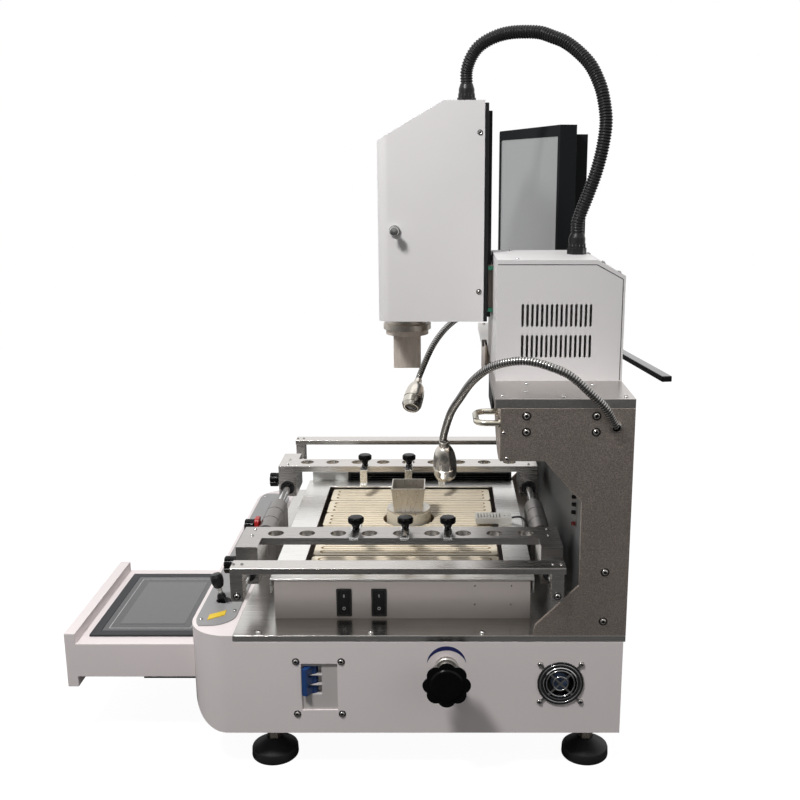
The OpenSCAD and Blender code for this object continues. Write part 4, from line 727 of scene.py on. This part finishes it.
# Motor box: white vented cover of folded sheet, screwed together along its top, slope and back.
# A dark seam shows where its side plate meets the folded top.
seam_dark = finish("seam_dark", (0.05, 0.048, 0.046), 0.6, spread=0.1)
box_low, box_high = (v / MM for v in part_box("motor_box"))
seam_w, seam_t, seam_drop, slope, slope_fall = 1.0, 0.12, 5.5, 34, 19
seam_line = [(box_low.x + 1, box_high.z - seam_drop), (box_high.x - slope - 1, box_high.z - seam_drop),
             (box_high.x - 3, box_high.z - slope_fall - seam_drop + 1.5), (box_high.x - 3, box_low.z + 1)]
for number, (a, b) in enumerate(zip(seam_line, seam_line[1:])):
    a, b = Vector(a), Vector(b)
    across = Vector((b.y - a.y, a.x - b.x)).normalized() * seam_w / 2
    add_plate(f"box_seam_{number}", [a + across, a - across, b - across, b + across], seam_t,
              on_near(0, box_low.y, 0), seam_dark)
box_screw_y, box_screw_z = (box_low.y + 12, box_high.y - 12), 582
box_places = [((box_low.x + 25, box_screw_y[0], box_high.z), up),
              ((box_low.x + 24, box_screw_y[1], box_high.z), up)]
box_places += [((box_high.x, y, box_screw_z), (1, 0, 0)) for y in box_screw_y]
screws("box_screws", box_places, 2.4, bright_screw)
slope_out = Vector((slope_fall, 0, slope)).normalized()
slope_places = [((box_high.x - slope * (1 - k), y, box_high.z - slope_fall * k), slope_out)
                for k in (0.22, 0.8) for y in (box_low.y + 8, box_high.y - 8)]
screws("box_slope_screws", slope_places, 2.4, (screw_dark, "turned_steel"), washer=3.0)


# Hose glands: black moulded fittings on the motor box and the head that hold the hose's ends.
# Their nuts are ribbed for the fingers.
fitting_black = finish("fitting_black", (0.012, 0.012, 0.013), 0.35, spread=0.2, shine=0.3)
rib_count, rib_ring_r, rib_rise, rib_h = 14, 10.4, 9, 9
for node, body in (("box_gland", "base"), ("head_gland", "head")):
    dress(node, fitting_black, 0.5)
    low, high = (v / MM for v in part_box(node))
    middle = (low + high) / 2
    nut_place = Matrix.Translation(Vector((middle.x, middle.y, low.z + rib_rise)) * MM)
    ribs = bmesh.new()
    for k in range(rib_count):
        turn = Matrix.Rotation(2 * math.pi * k / rib_count, 4, "Z")
        bmesh.ops.create_cone(ribs, cap_ends=True, segments=8, radius1=0.9 * MM, radius2=0.7 * MM,
                              depth=rib_h * MM,
                              matrix=nut_place @ turn @ Matrix.Translation((rib_ring_r * MM, 0, 0)))
    add_piece(f"{node}_ribs", mesh_from(f"{node}_ribs", ribs), fitting_black, body, True)


# Head guide: ground steel guide that stands fixed behind the head.
# Its carriages have green end seals.
guide_steel = finish("guide_steel", (0.20, 0.17, 0.15), 0.4, metal=1.0, grain=500, spread=0.15,
                     stretch=(1, 1, 0.1))
dress("head_guide", guide_steel, 0.5)
seal_green = finish("seal_green", (0.015, 0.13, 0.075), 0.45, spread=0.1)
guide_near, guide_far = (v.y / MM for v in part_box("head_guide"))
seal_x, seal_heights = 105.9, (("upper", 605.5), ("lower", 551.5))
seal_outline, seal_t = rectangle(6.6, 5, 1.2), 0.5
for side, y, turn in (("near", guide_near, 0), ("far", guide_far, 180)):
    for place, z in seal_heights:
        face = on_top(seal_x, y, z) @ Matrix.Rotation(math.radians(turn), 4, "Z") @ lie_flat
        add_plate(f"{side}_{place}_seal", seal_outline, seal_t, face, seal_green)


# Head: white folded cover, held by two screws on each side, with a small turned steel knob.
# Below it are a steel nozzle ring and a square hot-air nozzle that turns in the ring.
head_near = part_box("head_cover")[0].y / MM
head_x, head_z = 91, (774, 575)
screws("head_screws", [((head_x, s * -head_near, z), (0, s, 0)) for z in head_z for s in (-1, 1)], 2.9,
       dark_screw, "head", washer=3.6)
knob_steel = finish("knob_steel", (0.62, 0.62, 0.61), 0.2, metal=1.0, grain=700, spread=0.06, sway=0.04)
dress("head_knob", knob_steel)
ring_steel = finish("ring_steel", (0.55, 0.505, 0.45), 0.34, metal=0.8, grain=400, spread=0.14,
                    stretch=(1, 1, 0.3), blotch=0.06)
dress("nozzle_ring", ring_steel, 0.4)
nozzle_steel = finish("nozzle_steel", (0.74, 0.655, 0.58), 0.46, metal=0.3, grain=350, spread=0.12,
                      stretch=(1, 1, 0.2), blotch=0.12)
dress("upper_nozzle", nozzle_steel, 0.4)


# Optics box: black anodised camera housing on a slide under the motor box.
# It comes out below the head to compare chip and board.
optics_black = finish("optics_black", (0.016, 0.016, 0.018), 0.45, metal=0.5, grain=1200, spread=0.15)
dress("optics_box", optics_black, 0.8)


# Work lamps: chromed goosenecks wound from steel wire, held in the column's sides by round nuts.
# The lamp heads are turned steel shells with a seam ring, a bright bezel and a dark domed lens.
neck_steel = finish("neck_steel", (0.46, 0.45, 0.435), 0.16, metal=1.0, grain=500, spread=0.12, bump=0.004,
                    sway=0.05)
# The grooves between the wire's turns get a dark steel as painted shade.
neck_groove_painted_shade = finish("neck_groove_painted_shade", (0.10, 0.097, 0.093), 0.32, metal=1.0, spread=0.15, bump=0.004)
lamp_steel = finish("lamp_steel", (0.62, 0.585, 0.53), 0.24, metal=1.0, spread=0.06, bump=0.003, sway=0.04)
near_grommet, far_grommet = Vector((242, base_near, 444)), Vector((242, -base_near, 444))
near_lamp = [near_grommet + Vector((-197, 132, -39)), near_grommet + Vector((-194, 151, -108))]
far_lamp = [far_grommet + Vector((-236, -136, -40)), far_grommet + Vector((-246, -172, -73))]
near_bends = [(0, 0, 0), (0, -4, 0), (-6, -9, 11), (-15, -15, 25), (-34, -19, 44), (-56, -20, 63),
              (-79, -18, 73), (-101, -13, 78), (-122, -5, 76), (-144, 11, 66), (-163, 36, 45), (-177, 68, 17),
              (-188, 104, -11)]
far_bends = [(0, 0, 0), (0, 4, 0), (-6, 10, 8), (-18, 17, 19), (-38, 20, 33), (-62, 19, 46), (-87, 12, 55),
             (-112, -4, 60), (-135, -29, 61), (-156, -59, 58), (-175, -85, 51), (-192, -105, 40),
             (-208, -119, 22), (-220, -129, 1)]
wire_pitch, wire_steps, neck_d, neck_sides, shell_l = 3.2, 4, 10, 16, 54
wire_form = [1.0, 0.97, 0.86, 0.97]
shaded_groove_steps = (1, 2)
necks = bmesh.new()
for grommet, bends, lamp in ((near_grommet, near_bends, near_lamp), (far_grommet, far_bends, far_lamp)):
    aim = (lamp[1] - lamp[0]).normalized()
    route = [(grommet + Vector(b)) * MM for b in bends]
    route += [(lamp[1] - d * aim) * MM for d in (shell_l + 8, shell_l - 2)]
    neck = tube_mesh("neck", smooth_path(route, wire_pitch / wire_steps * MM),
                     lambda step: neck_d / 2 * MM * wire_form[step % wire_steps], neck_sides)
    # Faces in the grooves take the dark steel: painted shade.
    for face in neck.polygons:
        face.material_index = int(face.index // neck_sides % wire_steps in shaded_groove_steps)
    necks.from_mesh(neck)
    bpy.data.meshes.remove(neck)
neck_mesh = mesh_from("goosenecks", necks)
goosenecks = add_piece("goosenecks", neck_mesh, neck_steel, smooth=True)
neck_mesh.materials.append(neck_groove_painted_shade)
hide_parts("lamp_necks")
neck_nut_form = [(4.8, 9), (6.2, 8.6), (7.2, 5), (7.6, 3), (7.6, 0)]
neck_places = [(near_grommet, near), (far_grommet, far)]
add_turned("neck_nuts", neck_nut_form, neck_places, neck_steel)
lamp_places = [(lamp[1], lamp[1] - lamp[0]) for lamp in (near_lamp, far_lamp)]
shell_form = [(5.2, -shell_l), (6.0, -53.6), (6.3, -46.6), (7.0, -46.4), (8.8, -45), (11.3, -41),
              (13.6, -34.5), (14.9, -26.5), (15.3, -17.6), (14.6, -17), (14.6, -16.2), (15.3, -15.6),
              (15.1, -5.6), (14.4, -4.6), (13.2, -1.2), (12.4, 0), (11.8, -0.4)]
lamp_shells = add_turned("lamp_shells", shell_form, lamp_places, lamp_steel, 40, 30)
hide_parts("lamp_heads")
lens_dark = finish("lens_dark", (0.02, 0.02, 0.02), 0.12, grain=500, coat=0.5)
bezel_form = [(12.2, -3), (11.9, -0.8), (9.5, -0.8), (9.3, -2.6)]
add_turned("lamp_bezels", bezel_form, lamp_places, lamp_steel)
lens_form = [(9.4, -2.8), (8, -1.6), (5, -0.9), (0, -0.6)]
add_turned("lamp_lenses", lens_form, lamp_places, lens_dark, degrees=60)


# Preheater: powder-coated case under a stainless frame, with six rows of cream ceramic heaters in its window.
# Its grooves are painted brown as shade.
# The case takes a greyer copy of the white coat: painted shade under the frame bars.
case_coat_painted_shade = finish("case_coat_painted_shade", (0.47, 0.425, 0.40), **powder)
dress("preheater_case", case_coat_painted_shade, fold_edge)
frame_steel = finish("frame_steel", (0.90, 0.89, 0.865), 0.3, metal=1.0, grain=260, spread=0.07,
                     stretch=(0.05, 2, 2), bump=0.002, blotch=0.03)
dress("preheater_frame", frame_steel, 0.4)
tile_cream = finish("tile_cream", (0.93, 0.825, 0.645), 0.34, grain=160, spread=0.03, bump=0.008, blotch=0.12)
tile_nodes, tile_links = tile_cream.node_tree.nodes, tile_cream.node_tree.links
tile_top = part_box("heater_tiles")[1].z
# Below the tiles' top the cream turns brown: painted shade in the grooves.
tile_split = tile_nodes.new("ShaderNodeSeparateXYZ")
tile_depth = map_range(tile_nodes, tile_top - 1.5 * MM, tile_top - 0.3 * MM, 0, 1)
groove_shade_mask, groove_shade_brown, ridge, tile_mixed = mix_node(tile_nodes, "RGBA")
groove_shade_brown.default_value = (0.36, 0.26, 0.15, 1)
tile_skin = tile_nodes["Principled BSDF"].inputs["Base Color"]
tile_place = next(n for n in tile_nodes if n.type == "TEX_COORD")
tile_links.new(tile_skin.links[0].from_socket, ridge)
join(tile_links, [(tile_place, "Object", tile_split, "Vector"), (tile_split, "Z", tile_depth, "Value")])
tile_links.new(tile_depth.outputs["Result"], groove_shade_mask)
tile_links.new(tile_mixed, tile_skin)
dress("heater_tiles", tile_cream, 0.3)
case_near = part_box("preheater_case")[0].y / MM
case_x, case_z = (84, 129), (227, 202)
screws("case_screws", [((x, case_near, z), near) for x in case_x for z in case_z], 1.3, dark_screw)


# Switches: two black rocker switches, clipped into the preheater's case behind moulded rims.
# Each rocker is printed with a stroke for on and a ring for off.
rocker_black = finish("rocker_black", (0.012, 0.012, 0.013), 0.3, spread=0.2, shine=0.3)
rockers = (("left", "left_rocker"), ("right", "right_rocker"))
for side, node in rockers:
    dress(node, rocker_black, 0.5)
rim_black = finish("rim_black", (0.02, 0.02, 0.021), 0.4, spread=0.15)
switch_z, mark_rise, mark_t = 204.5, 8, 0.1
rim_outer, rim_inner, rim_t = rectangle(19, 37, 1.5), rectangle(15.4, 33, 0.4), 1.0
for side, node in rockers:
    rim_place = on_near(middle_of(node).x, case_near, switch_z)
    add_frame(f"{side}_switch_rim", rim_outer, rim_inner, rim_t, rim_place, rim_black)
mark_white = finish("mark_white", (0.62, 0.62, 0.60), 0.5)


def face_frame(node, x, z):
    """Lies flat on a solid's near face, where a line along +Y through (x, z) in mm meets it."""
    tree = BVHTree.FromObject(nodes[node], bpy.context.evaluated_depsgraph_get())
    point, normal = tree.ray_cast(Vector((x * MM, -1, z * MM)), Vector(far))[:2]
    across = Vector((1, 0, 0))
    rise = normal.cross(across).normalized()
    turn = Matrix((across, rise, normal)).transposed().to_4x4()
    return Matrix.Translation(point) @ turn


stroke, ring_outer, ring_inner = rectangle(0.9, 4, 0.2), rectangle(4, 4, 1.99), rectangle(2.5, 2.5, 1.24)
for side, body in rockers:
    middle = middle_of(body)
    on_place = face_frame(body, middle.x, middle.z + mark_rise)
    off_place = face_frame(body, middle.x, middle.z - mark_rise)
    add_plate(f"{side}_on_mark", stroke, mark_t, on_place, mark_white, body)
    add_frame(f"{side}_off_mark", ring_outer, ring_inner, mark_t, off_place, mark_white,
              body)


# Lower heater: cream ceramic collar in the middle of the tiles, round a funnel of thin steel.
# The whole rises and sinks with the lift knob.
collar_cream = finish("collar_cream", (0.60, 0.555, 0.46), 0.4, grain=200, spread=0.07, blotch=0.08)
dress("lower_heater", collar_cream, 0.6)
funnel_steel = finish("funnel_steel", (0.55, 0.52, 0.475), 0.3, metal=1.0, grain=300, spread=0.06,
                      stretch=(1, 1, 0.2), bump=0.003, blotch=0.1)
dress("lower_nozzle", funnel_steel, 0.3)


# Cross-flow fan: long black blower behind the preheater, with a grey moulded end.
# The sensor block on the preheater is a grey moulding too, and its lead leaves at its back end.
blower_end, blower_body = tone((0.60, 0.61, 0.60), 0.45), tone((0.012, 0.012, 0.013), 0.45)
blower_low, blower_end_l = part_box("cooling_fan")[0].x / MM, 57
dress("cooling_fan", zoned("blower_grey_and_black", blower_end, blower_body, blower_low + blower_end_l, "X"))
sensor_grey = finish("sensor_grey", (0.62, 0.60, 0.56), 0.42)
dress("sensor_block", sensor_grey, 0.4)


# Board clamp: satin aluminium bars and rails on chromed shafts, which run in pillow blocks on the deck.
# Bright steel fingers hold the board, and black plastic knobs and thumbscrews fix rails and fingers.
satin = {"metal": 1.0, "grain": 300, "spread": 0.06, "stretch": (0.04, 1.5, 1.5), "bump": 0.002, "sway": 0.04}
bar_satin = finish("bar_satin", (0.63, 0.60, 0.575), 0.27, **satin)
# The near rail takes a darker copy of the bars' satin aluminium: painted shade.
near_rail_satin_painted_shade = finish("near_rail_satin_painted_shade", (0.48, 0.46, 0.445), 0.29, **satin)
for node, alloy in (("frame_bars", bar_satin), ("near_clamp_rail", near_rail_satin_painted_shade),
                    ("far_clamp_rail", bar_satin)):
    dress(node, alloy, 0.5)
pillow_satin = finish("pillow_satin", (0.25, 0.235, 0.225), 0.36, metal=1.0, grain=600, spread=0.1,
                      bump=0.005)
dress("pillow_blocks", pillow_satin, 0.6)
shaft_chrome = finish("shaft_chrome", (0.68, 0.68, 0.68), 0.12, metal=1.0, grain=500, spread=0.04, sway=0.03,
                      bump=0.004)
dress("guide_shafts", shaft_chrome)
finger_steel = finish("finger_steel", (0.90, 0.89, 0.86), 0.26, metal=1.0, grain=500, bump=0.003, sway=0.05)
for node in ("near_fingers", "far_fingers"):
    dress(node, finger_steel, 0.3)
for node in ("near_thumbscrews", "far_thumbscrews", "near_clamp_knob", "far_clamp_knob", "frame_lock_knob"):
    dress(node, knob_black, 0.5)


# Shaft seals: black rubber rings round the shafts, pressed into the rails' end blocks.
# They sit just inside the blocks' faces.
shaft_low, shaft_high = (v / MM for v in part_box("guide_shafts"))
shaft_z, shaft_r = (shaft_low.z + shaft_high.z) / 2, (shaft_high.z - shaft_low.z) / 2
shaft_x = (shaft_low.x + shaft_r, shaft_high.x - shaft_r)
seal_form = [(shaft_r + 0.3, 0), (shaft_r + 0.3, 5), (shaft_r + 1.2, 6), (9.2, 6), (10.0, 7.4), (10.7, 7.4),
             (10.7, 0)]
seal_inset = 8.5
for side in ("near", "far"):
    low, high = (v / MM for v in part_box(f"{side}_clamp_rail"))
    block_faces = ((low.y + seal_inset, -1), (high.y - seal_inset, 1))
    ends = [((x, y, shaft_z), (0, s, 0)) for x in shaft_x for y, s in block_faces]
    add_turned(f"{side}_seals", seal_form, ends, rim_black, 28, body=f"{side}_clamp")


# Frame lock: red moulded block on the front pillow block, round the black knob that locks the frame.
# Its hole clears the knob's stem.
lock_red = finish("lock_red", (0.42, 0.012, 0.010), 0.35, spread=0.08)
pillow_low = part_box("pillow_blocks")[0] / MM
lock_knob_r, lock_gap, lock_t = 11, 0.1, 5.5
lock_outer, lock_hole = rectangle(27, 21, 5), rectangle(11.6, 11.6, 5.79)
lock_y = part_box("frame_lock_knob")[0].y / MM + lock_knob_r
lock_place = on_top(pillow_low.x - lock_gap, lock_y, shaft_z) @ Matrix.Rotation(math.radians(-90), 4, "Y")
add_frame("lock_block", lock_outer, lock_hole, lock_t, lock_place, lock_red)


# Clamp screws: small socket screws that hold the bars on their posts, the posts and the rails' end blocks.
# The larger ones on the posts stand on washers.
bars_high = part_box("frame_bars")[1] / MM
post_x, bar_pair, bar_inset, post_screw_z = (-198.5, 179.5), (-5, 5), 13, 240
bar_places = [((x + dx, s * (bars_high.y - bar_inset), bars_high.z), up) for x in post_x for dx in bar_pair
              for s in (-1, 1)]
screws("bar_screws", bar_places, 2.0, dark_screw, "board_frame")
screws("post_screws", [((x, s * bars_high.y, post_screw_z), (0, s, 0)) for x in post_x for s in (-1, 1)], 3.6,
       dark_screw, "board_frame", washer=4.8)
for side, rail_y in (("near", (-162, -184)), ("far", (127, 151))):
    screws(f"{side}_rail_screws", [((x, y, bars_high.z), up) for x in post_x for y in rail_y], 2.2,
           bright_screw, f"{side}_clamp")
